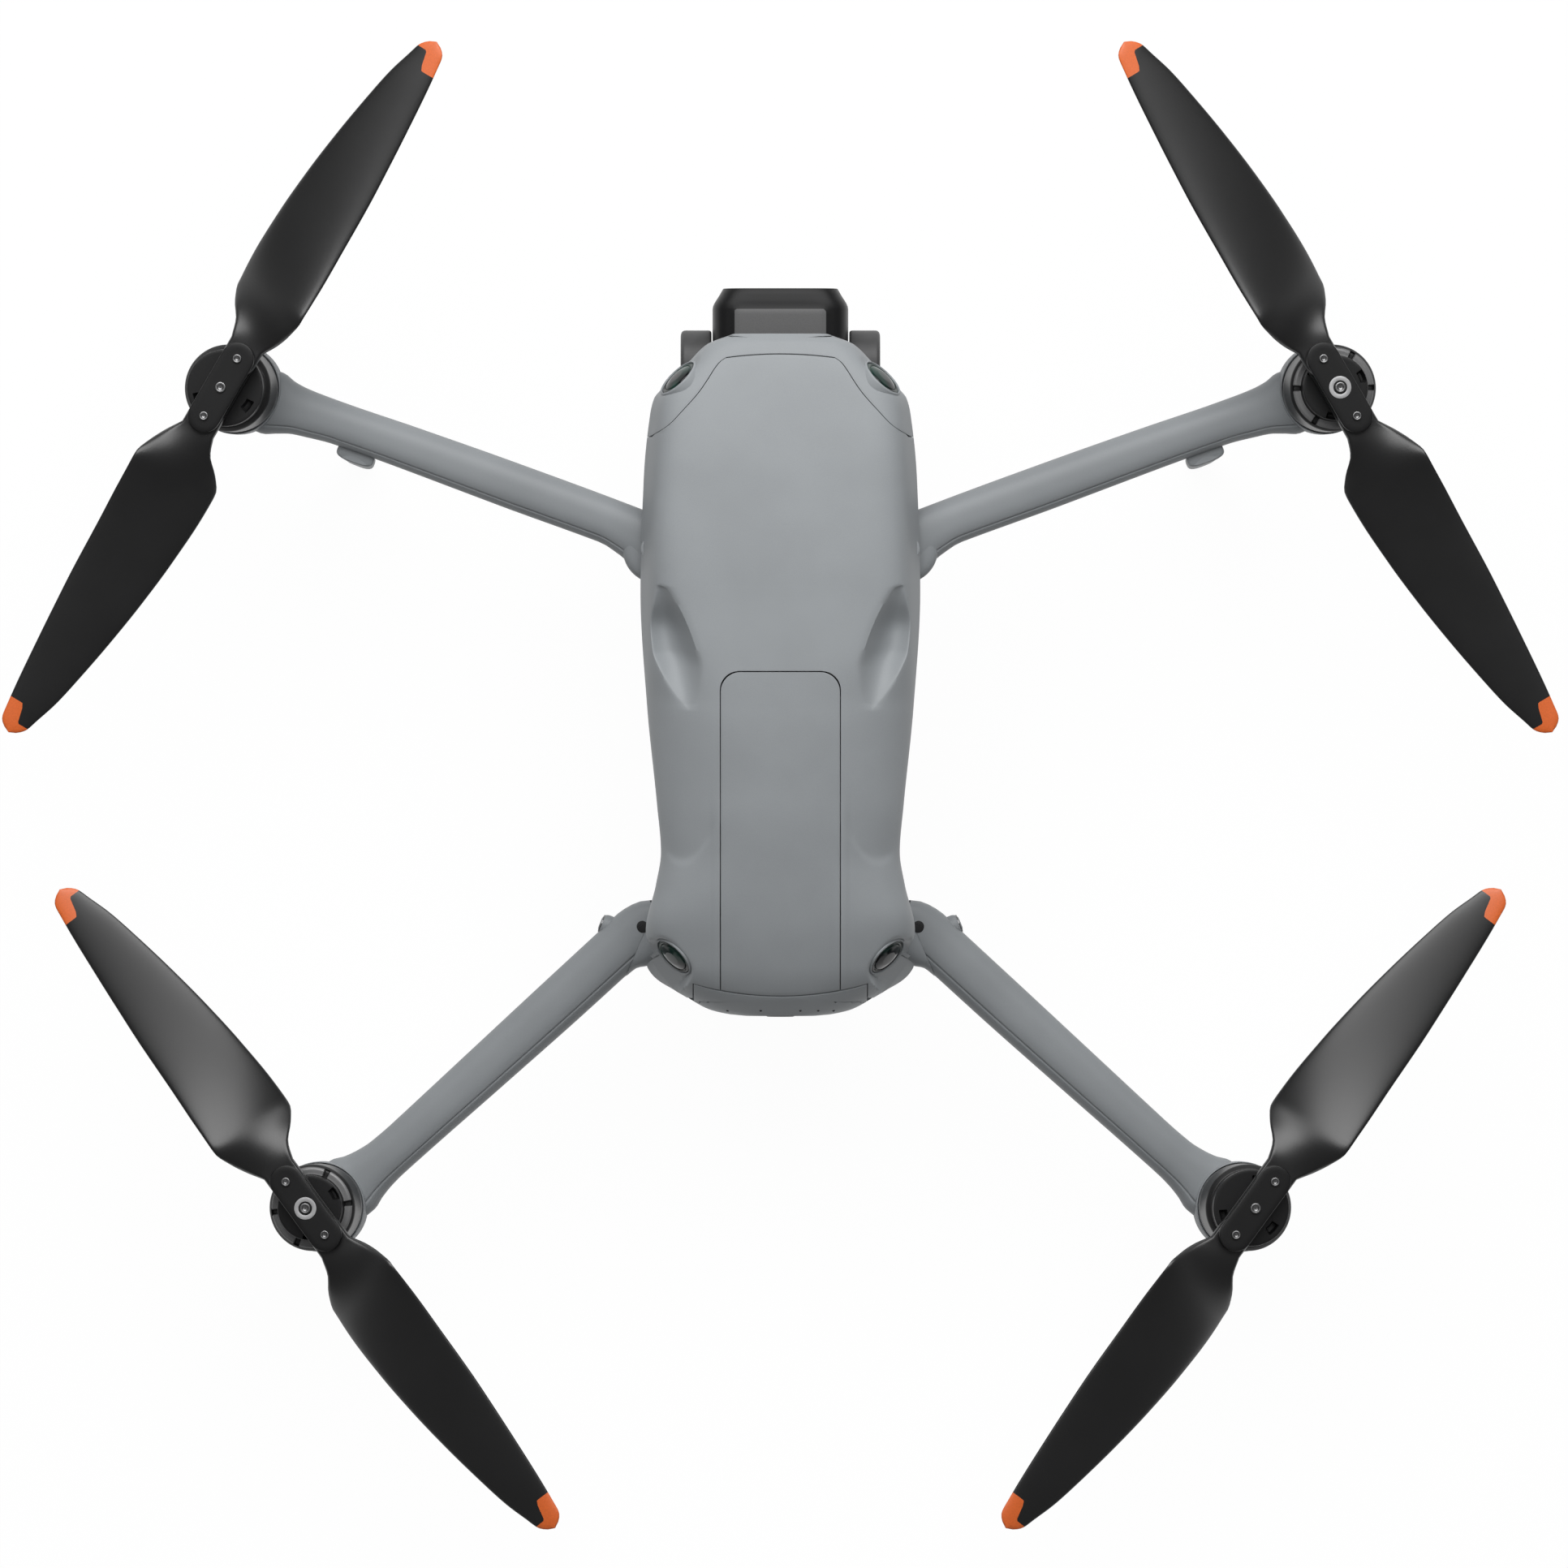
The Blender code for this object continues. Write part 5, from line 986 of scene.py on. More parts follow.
def seam_shadow_surface():
    """Dark sheet a little under the nose seam, a painted shadow, so that the seam reads as a shadow line."""
    y = rows_between(SEAM_SHADOW_REAR, SEAM_SHADOW_FRONT, 24)
    angle = np.linspace(0.0, math.pi, 61)[None] + 0 * y[:, None]
    x, z = arch(y[:, None] + 0 * angle, np.minimum(angle, math.pi - angle))
    x = np.where(angle > math.pi / 2, -x, x)
    z = np.maximum(z - SEAM_SHADOW_DROP, BODY_RIM[-1][1] + SEAM_SHADOW_RIM_GAP)
    return grid(x * SEAM_SHADOW_SHARE, y[:, None] + 0 * x, z)


class DRONE_OT_upper_shell(bpy.types.Operator):
    """Top shell with its pressed hollows, and the nose rim ahead of it"""
    bl_idname = "drone.upper_shell"
    bl_label = "Upper Shell"

    def execute(self, context):
        size = context.scene.drone_sizes
        piece("body_top_shell", faceted(upper_shell_surface(), "rear"), "airframe", "shell",
              ("upper_shell",), size.wall, size.edge)
        piece("nose_rim", faceted(front_trim_surface(), "front"), "airframe", "trim",
              ("front_trim",), size.wall, size.edge)
        # Painted shadow: a dark sheet under the nose seam
        piece("nose_seam_liner", seam_shadow_surface(), "airframe", "dark", wall=SEAM_SHADOW_WALL)
        low = ARM_HALF_HEIGHT + SEAM_GAP
        cap = turned(drum(HINGE_CAP_RADIUS, low, low + HINGE_CAP_HEIGHT, soft=0.0004), 40)
        caps = [placed(cap, *arm_axes("front", name)[:2]) for name, _ in SIDES]
        piece("front_hinge_caps", joined(*caps), "airframe", "shell")
        return {"FINISHED"}


# Lower body

def lower_shell_surface():
    """Neck, shelf and trough as one profile carried from tail to chin, closed at both ends."""
    y = rows_through(LOWER_STOPS, LOWER_ROWS)
    half, bottom = smooth(LOWER_HALF_WIDTH, y), smooth(LOWER_BOTTOM, y)
    neck = np.minimum(np.interp(y, *np.array(NECK_HALF_WIDTH).T), half)
    top = np.where(y > NECK_REAR, smooth(BODY_RIM, y) - SEAM_GAP, SHELF_Z + SHELF_LIFT)
    top = np.where(y > NECK_FRONT, SHELF_Z + SHELF_LIFT, top)
    share = np.linspace(0.0, 1.0, 5)[None, :-1]
    wall_x = np.repeat(neck[:, None], 4, 1)
    wall_z = top[:, None] + (SHELF_Z - top)[:, None] * share
    shelf_x = neck[:, None] + (half - neck)[:, None] * share
    shelf_z = np.full_like(shelf_x, SHELF_Z)
    angle = np.linspace(0.0, math.pi / 2, 25)
    across, down = superellipse(angle, LOWER_SQUARENESS)
    trough_x = half[:, None] * across
    trough_z = SHELF_Z - (SHELF_Z - bottom)[:, None] * down
    x = np.concatenate([0 * neck[:, None], wall_x, shelf_x, trough_x], 1)
    z = np.concatenate([top[:, None], wall_z, shelf_z, trough_z], 1)
    middle = np.full_like(x[:1], SHELF_Z)
    x = np.concatenate([0 * x[:1], x, 0 * x[:1]])
    z = np.concatenate([np.minimum(middle, z[:1]), z, np.minimum(middle, z[-1:])])
    rows = np.concatenate([y[:1], y, y[-1:]])[:, None]
    return both_halves(grid(x, rows + 0 * x, z))


def lower_bosses():
    """Turned hinge bosses: upright ones under the front arms, and level ones beside the rear arms."""
    top, face = -ARM_HALF_HEIGHT - SEAM_GAP, -REAR_KNUCKLE_LENGTH / 2 - SEAM_GAP
    upright = turned(drum(KNUCKLE_RADIUS, top, FRONT_BOSS_BOTTOM, soft=0.0008))
    level = turned(cone(REAR_BOSS_RADIUS, face, REAR_BOSS_END_RADIUS, face - REAR_BOSS_LENGTH, soft=0.0008))
    parts = []
    for name, side in SIDES:
        parts.append(placed(upright, *arm_axes("front", name)[:2]))
        parts.append(placed(level, JOINTS[f"rear_{name}_arm_fold"]["pos_m"], facing(rear_out(name))))
        parts.append(rear_root(name, side))
    return joined(*parts)


class DRONE_OT_lower_shell(bpy.types.Operator):
    """Bottom shell with its neck, and the bosses that carry the arms"""
    bl_idname = "drone.lower_shell"
    bl_label = "Lower Shell"

    def execute(self, context):
        piece("body_lower_shell", lower_shell_surface(), "airframe", "shell", ("lower_shell",),
              edge=LOWER_EDGE)
        piece("arm_bosses", lower_bosses(), "airframe", "arm")
        return {"FINISHED"}


# Battery

def panel_surface():
    """Exposed top panel of the battery: the body's own height between two edges, from the plate's seam on."""
    y = np.concatenate([rows_between(PANEL_REAR, PANEL_FRONT - PANEL_CORNER, 90), corner_rows(PANEL_FRONT)])
    x = panel_edge(y, 0.0)[:, None] * np.linspace(-1.0, 1.0, 41)[None]
    fade = (1.0 - np.linspace(0.0, 1.0, len(y))[:, None]) ** PANEL_FADE
    plan_y = y[:, None] + fade * (plate_seam(x) + PANEL_GAP - PANEL_REAR)
    _, z = arch(plan_y, bearing(plan_y, np.abs(x)))
    return grid(x, plan_y, z)


def end_plate_surface():
    """End plate of the battery: the body's section from the seam to the tail, then a face down to the rim."""
    ramp = np.linspace(0.0, 1.0, 22)[:, None]
    column = np.linspace(-1.0, 1.0, 61)[None]
    front_y = plate_seam(PLATE_HALF_WIDTH * column)
    plate_y = front_y + (TAIL - front_y) * ramp
    low = bearing(plate_y, np.minimum(PLATE_HALF_WIDTH, smooth(BODY_HALF_WIDTH, plate_y)))
    x, z = arch(plate_y, low + (math.pi - 2 * low) * (1 - (column + 1) / 2))
    edge_x, edge_z = x[-1:], z[-1:]
    fall = np.linspace(0.0, 1.0, 8)[:, None]
    tail = grid(edge_x + 0 * fall, TAIL + 0 * fall, edge_z + (smooth(BODY_RIM, TAIL) - edge_z) * fall)
    return joined(grid(x, plate_y, z), tail)


def block_surface():
    """Hidden block of the battery: a square superellipse carried forward, smaller at its ends."""
    y, shrink = np.array(BLOCK_STATIONS).T[..., None]
    across, up = superellipse(np.arange(96) / 96 * 2 * math.pi, BLOCK_SQUARENESS)
    middle, half = (BLOCK_BOTTOM + BLOCK_TOP) / 2, (BLOCK_TOP - BLOCK_BOTTOM) / 2
    x = PLATE_HALF_WIDTH * across[None] * shrink
    return capped(x, y + 0 * x, middle + half * up[None] * shrink)


class DRONE_OT_battery(bpy.types.Operator):
    """Battery with its long top panel, curved end plate and hidden block"""
    bl_idname = "drone.battery"
    bl_label = "Battery"

    def execute(self, context):
        size = context.scene.drone_sizes
        skin = joined(panel_surface(), end_plate_surface())
        piece("battery_skin", skin, "battery", "battery", ("battery_case",),
              BATTERY_WALL, size.edge)
        piece("battery_block", block_surface(), "battery", "battery")
        low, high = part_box("power_button")
        middle = [(a + b) / 2 for a, b in zip(low, high)]
        radius = (high[0] - low[0]) / 2
        cap = [(0.0, -BUTTON_DEPTH), (radius, -BUTTON_DEPTH)]
        cap += [(radius * share, height) for share, height in BUTTON_FACE]
        cap = turned(softened(cap, radius=0.0003), 48)
        cap = placed(cap, (middle[0], TAIL, middle[2]), facing((0.0, -1.0, 0.0)))
        piece("power_button_cap", cap, "power_button", "dark", ("power_button",))
        x = np.array(LEVEL_LIGHTS)
        y = LEVEL_LIGHTS_Y + 0 * x
        places = np.stack([x, y, arch(y, bearing(y, np.abs(x)))[1]], 1)
        bead = turned(softened(LIGHT_BEAD, radius=0.0001, steps=3), 16)
        lights = joined(*(placed(bead, place, facing(LIGHT_FACING)) for place in places))
        piece("battery_level_lights", lights, "battery", "dark")
        return {"FINISHED"}


# Arms

def arm_axes(end, name):
    """Origin on the hinge, axes (along the arm, across it, along the rotor axis) and the arm's length."""
    spin = JOINTS[f"{end}_{name}_rotor_spin"]
    axis = outward(spin["axis"]) * math.copysign(1.0, spin["axis"][2])
    origin = np.array(JOINTS[f"{end}_{name}_arm_fold"]["pos_m"])
    reach = np.array(spin["pos_m"]) - axis * ARM_HALF_HEIGHT - origin
    length = np.linalg.norm(reach)
    forward = reach / length
    return origin, np.stack([forward, np.cross(axis, forward), axis]), length


def across_arm(stations, distance, side):
    """The arm's two edges at distances from the motor, in rising order: on the left they change places."""
    rear, fore = values_at(stations, distance)
    return (rear, fore) if side > 0 else (-fore, -rear)


def arm_surface(end, side, length):
    """Bar between the two measured edges, a turned knuckle and the motor cup, in the arm's own axes."""
    edges = FRONT_ARM_EDGES if end == "front" else REAR_ARM_EDGES
    distance = rows_through((edges[0][0], ARM_BREAK, edges[-1][0]), (33, 39))
    low, high = across_arm(edges, distance, side)
    half_height = ARM_BAR_HALF_HEIGHT - ARM_SLIMMING * ease(*ARM_SLIM_ENDS, distance)
    groove = math.pi - ARM_SEAM if side > 0 else ARM_SEAM, ARM_SEAM_WIDTH, ARM_SEAM_DEPTH
    shaft = bar(length - distance, low, high, half_height, ARM_SQUARENESS, 72, groove)
    top = ARM_HALF_HEIGHT
    foot, seat = top - MOTOR_CUP_DEPTH, top - MOTOR_SEAT_DEPTH
    cup = softened([(0.0, foot), (MOTOR_CUP_FOOT, foot), (MOTOR_CUP_RADIUS, top - MOTOR_CUP_WALL),
                    (MOTOR_CUP_RADIUS, top), (MOTOR_SEAT_RADIUS, top), (MOTOR_SEAT_RADIUS, seat),
                    (0.0, seat)], radius=0.0005)
    parts = [shaft, placed(turned(cup), (length, 0.0, 0.0), np.eye(3))]
    if end == "front":
        flush = half_height[-1] - KNUCKLE_SINK
        parts.append(turned(drum(KNUCKLE_RADIUS, -flush, flush, KNUCKLE_SOFT, 8)))
    return joined(*parts)


def cut_to(surface, name, level, keep_outer, inner_end=-1.0):
    """The surface with every point past the plane across a rear fold axis slid along the arm onto that plane.

    A point that would slide past the bar's inner end stops there and goes on across the arm to the plane.
    """
    points, quads = surface
    origin, axes, _ = arm_axes("rear", name)
    normal = axes @ rear_out(name)
    past = np.maximum if keep_outer else np.minimum
    local = (points - origin) @ axes.T
    slide = past(level - local @ normal, 0.0) / normal[0]
    local[:, 0] = np.where(slide < 0.0, np.maximum(local[:, 0] + slide, inner_end), local[:, 0] + slide)
    local[:, 1] += past(level - local @ normal, 0.0) / normal[1]
    return origin + local @ axes, quads


def rear_root(name, side):
    """The body's side of a rear arm's root: a short bar on the arm's line, cut where the arm begins."""
    origin, axes, length = arm_axes("rear", name)
    distance = np.linspace(REAR_ROOT_EDGES[0][0], REAR_ROOT_EDGES[-1][0], 26)
    low, high = across_arm(REAR_ROOT_EDGES, distance, side)
    root = placed(bar(length - distance, low, high, ROOT_HALF_HEIGHT, ROOT_SQUARENESS), origin, axes)
    return cut_to(root, name, -REAR_KNUCKLE_LENGTH / 2 - ROOT_GAP, False, length - distance[-1])


def rear_barrel(name):
    """Turned cap of a rear arm over the outer end of its hinge pin."""
    joint = JOINTS[f"rear_{name}_arm_fold"]
    half = REAR_KNUCKLE_LENGTH / 2
    top = half + BARREL_RISE
    barrel = softened([(0.0, -half), (BARREL_RADIUS, -half), (BARREL_RADIUS, half - BARREL_CHAMFER),
                       (BARREL_TOP_RADIUS, top), (0.0, top)], radius=0.0010)
    return placed(turned(barrel), joint["pos_m"], facing(rear_out(name)))


def rear_out(name):
    """Fold axis of a rear arm, pointing away from the body."""
    joint = JOINTS[f"rear_{name}_arm_fold"]
    return outward(joint["axis"]) * math.copysign(1.0, joint["axis"][0] * joint["pos_m"][0])


def leg_surface(name, side):
    """Landing leg: a flat rounded section from the arm's rear side straight down to the ground, tapering.

    Part of the way down the front face is drawn in, so that a rear arm folded forward passes in front of it.
    """
    origin, axes, length = arm_axes("front", name)
    edge = values_at(FRONT_ARM_EDGES, LEG_FROM_MOTOR)[0]
    root = [length - LEG_FROM_MOTOR, side * (edge + LEG_TUCK - LEG_TOP[1]), LEG_ROOT_RISE]
    middle = origin + np.array(root) @ axes
    along, across = axes[0], axes[1]
    shaft = np.linspace(*LEG_SHAFT)
    fall = np.concatenate([LEG_ROOT_FALL, shaft, LEG_FOOT_FALL])
    tuck = np.concatenate([LEG_END_TUCK, np.ones(len(shaft)), LEG_END_TUCK[::-1]])
    x, y = superellipse(np.arange(40) / 40 * 2 * math.pi, LEG_SQUARENESS)
    upper, lower = np.array(LEG_TOP), np.array(LEG_FOOT)
    half = upper + (lower - upper) * ease(0.0, LEG_TAPERED, fall)[:, None]
    start, deep, shallow, end = LEG_WAIST_FALL
    waist = (ease(start, deep, fall) * ease(end, shallow, fall))[:, None]
    thin = (half[:, 1] * tuck)[:, None] * y * (1.0 - waist * np.where(side * y > 0.0, LEG_WAIST, 0.0))
    wide = (half[:, 0] * tuck)[:, None] * x
    section = middle + (wide[..., None] * along + thin[..., None] * across)
    return capped(section[..., 0], section[..., 1], section[..., 2] * (1.0 - fall)[:, None])


def pin_hole_surface(name, side):
    """Dark drum on a rear arm's top over its hinge: painted shade that stands for the hole there."""
    origin, axes, _ = arm_axes("rear", name)
    along, across, _ = (np.array((side * PIN_HOLE_X, PIN_HOLE_Y, origin[2])) - origin) @ axes.T
    hole = turned(drum(PIN_HOLE_RADIUS, PIN_HOLE_LOW, PIN_HOLE_HIGH, soft=0.0001), 32)
    return placed(hole, origin + np.array((along, across, 0.0)) @ axes, axes)


class DRONE_OT_arms(bpy.types.Operator):
    """Four folding arms with their motor cups, and the two landing legs"""
    bl_idname = "drone.arms"
    bl_label = "Arms"

    def execute(self, context):
        for end in ENDS:
            for name, side in SIDES:
                origin, axes, length = arm_axes(end, name)
                surface = placed(arm_surface(end, side, length), origin, axes)
                if end == "rear":
                    kept = cut_to(surface, name, -REAR_KNUCKLE_LENGTH / 2, True)
                    surface = joined(kept, rear_barrel(name))
                arm = f"{end}_{name}_arm"
                piece(f"{arm}_skin", surface, arm, "arm", (arm,))
        for name, side in SIDES:
            # Painted shade: a dark drum where the hinge hole is
            piece(f"rear_{name}_pin_hole_shade", pin_hole_surface(name, side), "airframe", "dark")
            piece(f"front_{name}_leg_skin", leg_surface(name, side), f"front_{name}_arm", "arm",
                  (f"front_{name}_landing_leg",))
        return {"FINISHED"}


# Rotors

def rotor_axes(prefix):
    """Origin on the motor seat, axes (to blade a, across, up the spin axis) and half the pivots' spacing."""
    spin = JOINTS[f"{prefix}_rotor_spin"]
    axis = outward(spin["axis"]) * math.copysign(1.0, spin["axis"][2])
    a, b = (np.array(JOINTS[f"{prefix}_blade_{letter}_fold"]["pos_m"]) for letter in "ab")
    heading = outward(a - b)
    axes = np.stack([heading, np.cross(axis, heading), axis])
    return np.array(spin["pos_m"]), axes, np.linalg.norm(a - b) / 2


def refined(profile, step):
    """The polyline with every side cut into equal parts no longer than the step."""
    sides = np.diff(profile, axis=0)
    counts = np.maximum(1, np.ceil(np.linalg.norm(sides, axis=1) / step).astype(int))
    parts = [start + side * (np.arange(count) / count)[:, None]
             for start, side, count in zip(profile, sides, counts)]
    return np.concatenate([*parts, profile[-1:]])


def bell_surface(bare_bands, mount):
    """Motor bell turned, with sunk spokes between its bare bands and bayonet slots in its mount."""
    profile = softened([(0.0, BELL_CEILING), (BELL_BORE, BELL_CEILING), (BELL_BORE, BELL_BOTTOM),
                        (BELL_RADIUS, BELL_BOTTOM), (BELL_RADIUS, BELL_TOP - BELL_CHAMFER),
                        (BELL_RADIUS - BELL_CHAMFER, BELL_TOP), (mount, BELL_TOP), (mount, MOUNT_TOP),
                        (0.0, MOUNT_TOP)], radius=0.0004)
    radius, height = refined(profile, BELL_STEP).T[..., None]
    angle = np.arange(144)[None] / 144 * 2 * math.pi
    on_top = ease(BELL_TOP - BELL_CHAMFER, BELL_TOP - BELL_CHAMFER / 2, height)
    on_top = on_top * (height < MOUNT_TOP - BAND_BELOW_MOUNT)
    ring = on_top * ease(*BAND_INNER, radius) * ease(*BAND_OUTER, radius)
    sector = ease(*SPOKE_EDGES, np.cos(SPOKES * angle))
    pocket = ring * sector * bare_bands
    on_mount = (height > MOUNT_TOP - MOUNT_EDGE) * ease(*SLOT_INNER, radius) * ease(*SLOT_OUTER, radius)
    slot = on_mount * ease(*SLOT_EDGES, np.cos(SLOTS * angle - SLOT_TURN))
    z = height - SPOKE_DEPTH * pocket - SLOT_DEPTH * slot
    bare = ring * (1 - sector) * bare_bands
    return grid(radius * np.cos(angle), radius * np.sin(angle), z, round_columns=True), bare.ravel()


def hub_surface(pivot):
    """Clevis: two plates with round ends and soft edges, and the core between them, about the blade level."""
    outline = stadium(pivot, HUB_PLATE_HALF_WIDTH)
    inner, outer, radius = HUB_PLATE_INNER, HUB_PLATE_OUTER, HUB_PLATE_HALF_WIDTH
    rim = softened([(radius, inner), (0.0, inner), (0.0, outer), (radius * HUB_CROWN_SHARE, HUB_CROWN),
                    (radius, HUB_CROWN)], radius=0.0004)
    top = plate(outline, rim)
    low = plate(outline, rim * (1.0, -1.0))
    core = plate(stadium(HUB_CORE_HALF, HUB_CORE_RADIUS),
                 [(HUB_CORE_INSET, -inner), (0.0, -inner), (0.0, inner), (HUB_CORE_INSET, inner)])
    return joined(top, (low[0], low[1][:, ::-1]), core)


def screw_surface(radius, top):
    """Screw head turned with a soft rim and a round socket sunk in it."""
    under = top - SCREW_RISE
    profile = softened([(0.0, under), (radius, under), (radius, top), (radius * SOCKET_RIM_SHARE, top),
                        (radius * SOCKET_FLOOR_SHARE, top - SOCKET_DEPTH), (0.0, top - SOCKET_MIDDLE)],
                       radius=0.0002, steps=3)
    return turned(profile, 24)


def blade_surface(sense, pivot, tip_paint):
    """Blade about its pivot: the section's chord runs between the two edges, pitched and slightly arched.

    Pitch is the arctangent of the blade's advance over 2 pi r, eased in from the root. The eye is a half
    round about the pivot. The tip mark is the distance past the paint line, which steps between the edges.
    """
    first, last = BLADE_STATIONS[0][0], BLADE_STATIONS[-1][0]
    inner, outer = BLADE_BREAKS
    eye = pivot - BLADE_EYE_RADIUS * np.cos(np.linspace(0.0, math.pi / 2, 10))
    span = rows_through((pivot, first, inner, outer), (4, 13, 59))[1:]
    tip = last - (last - outer) * np.cos(np.linspace(0.0, math.pi / 2, 14))[1:]
    radius = np.concatenate([eye, span, tip])
    lead, trail = values_at(BLADE_STATIONS, radius)
    round_eye = np.sqrt(np.clip(BLADE_EYE_RADIUS ** 2 - np.minimum(radius - pivot, 0.0) ** 2, 0.0, None))
    lead = np.where(radius < first, np.minimum(lead, round_eye), lead)
    trail = np.where(radius < first, np.minimum(trail, round_eye), trail)
    past = np.clip((radius - BLADE_CLOSING) / (last - BLADE_CLOSING), 0.0, 1.0)
    closing = np.sqrt(np.clip(1.0 - past ** BLADE_CLOSING_POWER, 0.0, 1.0))
    middle, half = (lead - trail) / 2, (lead + trail) / 2 * np.maximum(closing, BLADE_TIP_SHARE)
    share = np.clip((radius - first) / (last - first), 0.0, 1.0)
    pitch = np.arctan(BLADE_PITCH / (2 * math.pi * radius)) * ease(0.0, BLADE_PITCH_FULL, share)
    angle = np.arange(44) / 44 * 2 * math.pi
    fraction = 0.5 - 0.5 * np.cos(angle)
    side = np.sin(angle)
    y = middle[:, None] + half[:, None] * np.cos(angle)[None]
    root = 1.0 - ease(first - BLADE_ROOT_LEAD, BLADE_ROOT_END, radius)[:, None]
    thick = (BLADE_THICKNESS - BLADE_THINNING * share ** 0.5)[:, None]
    foil = 0.5 * thick * np.sign(side) * np.abs(side) ** FOIL_POWER * (FOIL_FRONT - FOIL_TAPER * fraction)
    foil = foil + BLADE_CAMBER * half[:, None] * np.abs(side)
    flat = BLADE_EYE_HALF * np.sign(side) * np.minimum(1.0, np.abs(side) * BLADE_EYE_STEEP)
    height = foil * (1 - root) + flat * root
    z = y * np.tan(pitch)[:, None] + height * np.cos(pitch)[:, None]
    plan = sense * (y - height * np.sin(pitch)[:, None])
    line = last - tip_paint + (tip_paint - PAINT_TRAILING) * ease(*PAINT_STEP, fraction)
    mark = (radius[:, None] - line[None]) / PAINT_UNIT
    x = np.broadcast_to((radius - pivot)[:, None], y.shape)
    return capped(x, plan, z), np.concatenate([mark[:1], mark, mark[-1:]]).ravel()


class DRONE_OT_rotors(bpy.types.Operator):
    """Motor bases, bells, hubs with their screws, and the eight hinged blades"""
    bl_idname = "drone.rotors"
    bl_label = "Rotors"

    def execute(self, context):
        for end in ENDS:
            for name, side in SIDES:
                self.rotor(f"{end}_{name}", side if end == "front" else -side, context.scene.drone_sizes.tip)
        return {"FINISHED"}

    def rotor(self, prefix, sense, tip_paint):
        """Motor and propeller of one arm; the sense is 1 or -1 by the way the propeller turns."""
        body = f"{prefix}_rotor"
        seat, axes, pivot = rotor_axes(prefix)
        level = seat + axes[2] * BLADE_LEVEL
        base = placed(turned(softened(MOTOR_BASE, radius=0.0003)), seat, axes)
        piece(f"{prefix}_motor_base", base, f"{prefix}_arm", "base", (f"{prefix}_motor_stator",))
        bell, bare = bell_surface(float(sense > 0), MOUNT_RADIUS[sense])
        piece(f"{prefix}_bell_skin", placed(bell, seat, axes), body, "motor",
              (f"{prefix}_motor_bell",), marks={"bare": bare}, sharp=30.0)
        hub = placed(hub_surface(pivot), level, axes)
        piece(f"{prefix}_hub_skin", hub, body, "hub", (f"{prefix}_propeller_hub",))
        heads = (-pivot, PIVOT_SCREW_RADIUS), (0.0, MIDDLE_SCREW_RADIUS), (pivot, PIVOT_SCREW_RADIUS)
        screws = [placed(screw_surface(radius, HUB_PLATE_OUTER + SCREW_RISE), (x, 0.0, 0.0), np.eye(3))
                  for x, radius in heads]
        piece(f"{prefix}_hub_screws", placed(joined(*screws), level, axes), body, "steel")
        if sense > 0:
            low = HUB_PLATE_OUTER
            ring = softened([(RING_INNER, low), (RING_OUTER, low), (RING_OUTER, RING_TOP),
                             (RING_INNER, RING_TOP), (RING_INNER, low)], radius=0.0001, steps=3)
            piece(f"{prefix}_hub_ring", placed(turned(ring, 40), level, axes), body, "aluminium")
        blade, mark = blade_surface(sense, pivot, tip_paint)
        for letter, turn in (("a", 1.0), ("b", -1.0)):
            own = np.stack([axes[0] * turn, axes[1] * turn, axes[2]])
            piece(f"{prefix}_blade_{letter}_skin", placed(blade, level + own[0] * pivot, own),
                  f"{prefix}_blade_{letter}", "blade", (f"{prefix}_blade_{letter}",),
                  marks={"tip": mark}, sharp=60.0)


# Gimbal camera and windows

def camera_surface():
    """Camera body: superellipse rings from back to face, the cover raised on top, the face set back."""
    y = np.array(CAMERA_STATIONS)[:, 0]
    y = np.unique(np.concatenate([np.linspace(y[0], y[-1], 46), y]))
    half_x, half_z = values_at(CAMERA_STATIONS, y)
    y = y[:, None]
    across, up = superellipse(np.arange(120) / 120 * 2 * math.pi, CAMERA_SQUARENESS)
    x = half_x[:, None] * across
    cover = ease(*COVER_SIDE, np.abs(x)) * (up[None] > COVER_FROM)
    cover = cover * ease(*COVER_REAR, y) * ease(*COVER_FRONT, y)
    z = ROLL_Z + half_z[:, None] * up + COVER_RISE * cover
    face_y, share = np.array(CAMERA_FACE).T[..., None]
    face_x, face_z = x[-1:] * share, ROLL_Z + (z[-1:] - ROLL_Z) * share
    pairs = (x, face_x), (y + 0 * x, face_y + 0 * face_x), (z, face_z)
    cover = np.concatenate([cover[:1], cover, 0 * face_x, 0 * face_x[:1]])
    return capped(*(np.concatenate(pair) for pair in pairs)), cover.ravel()


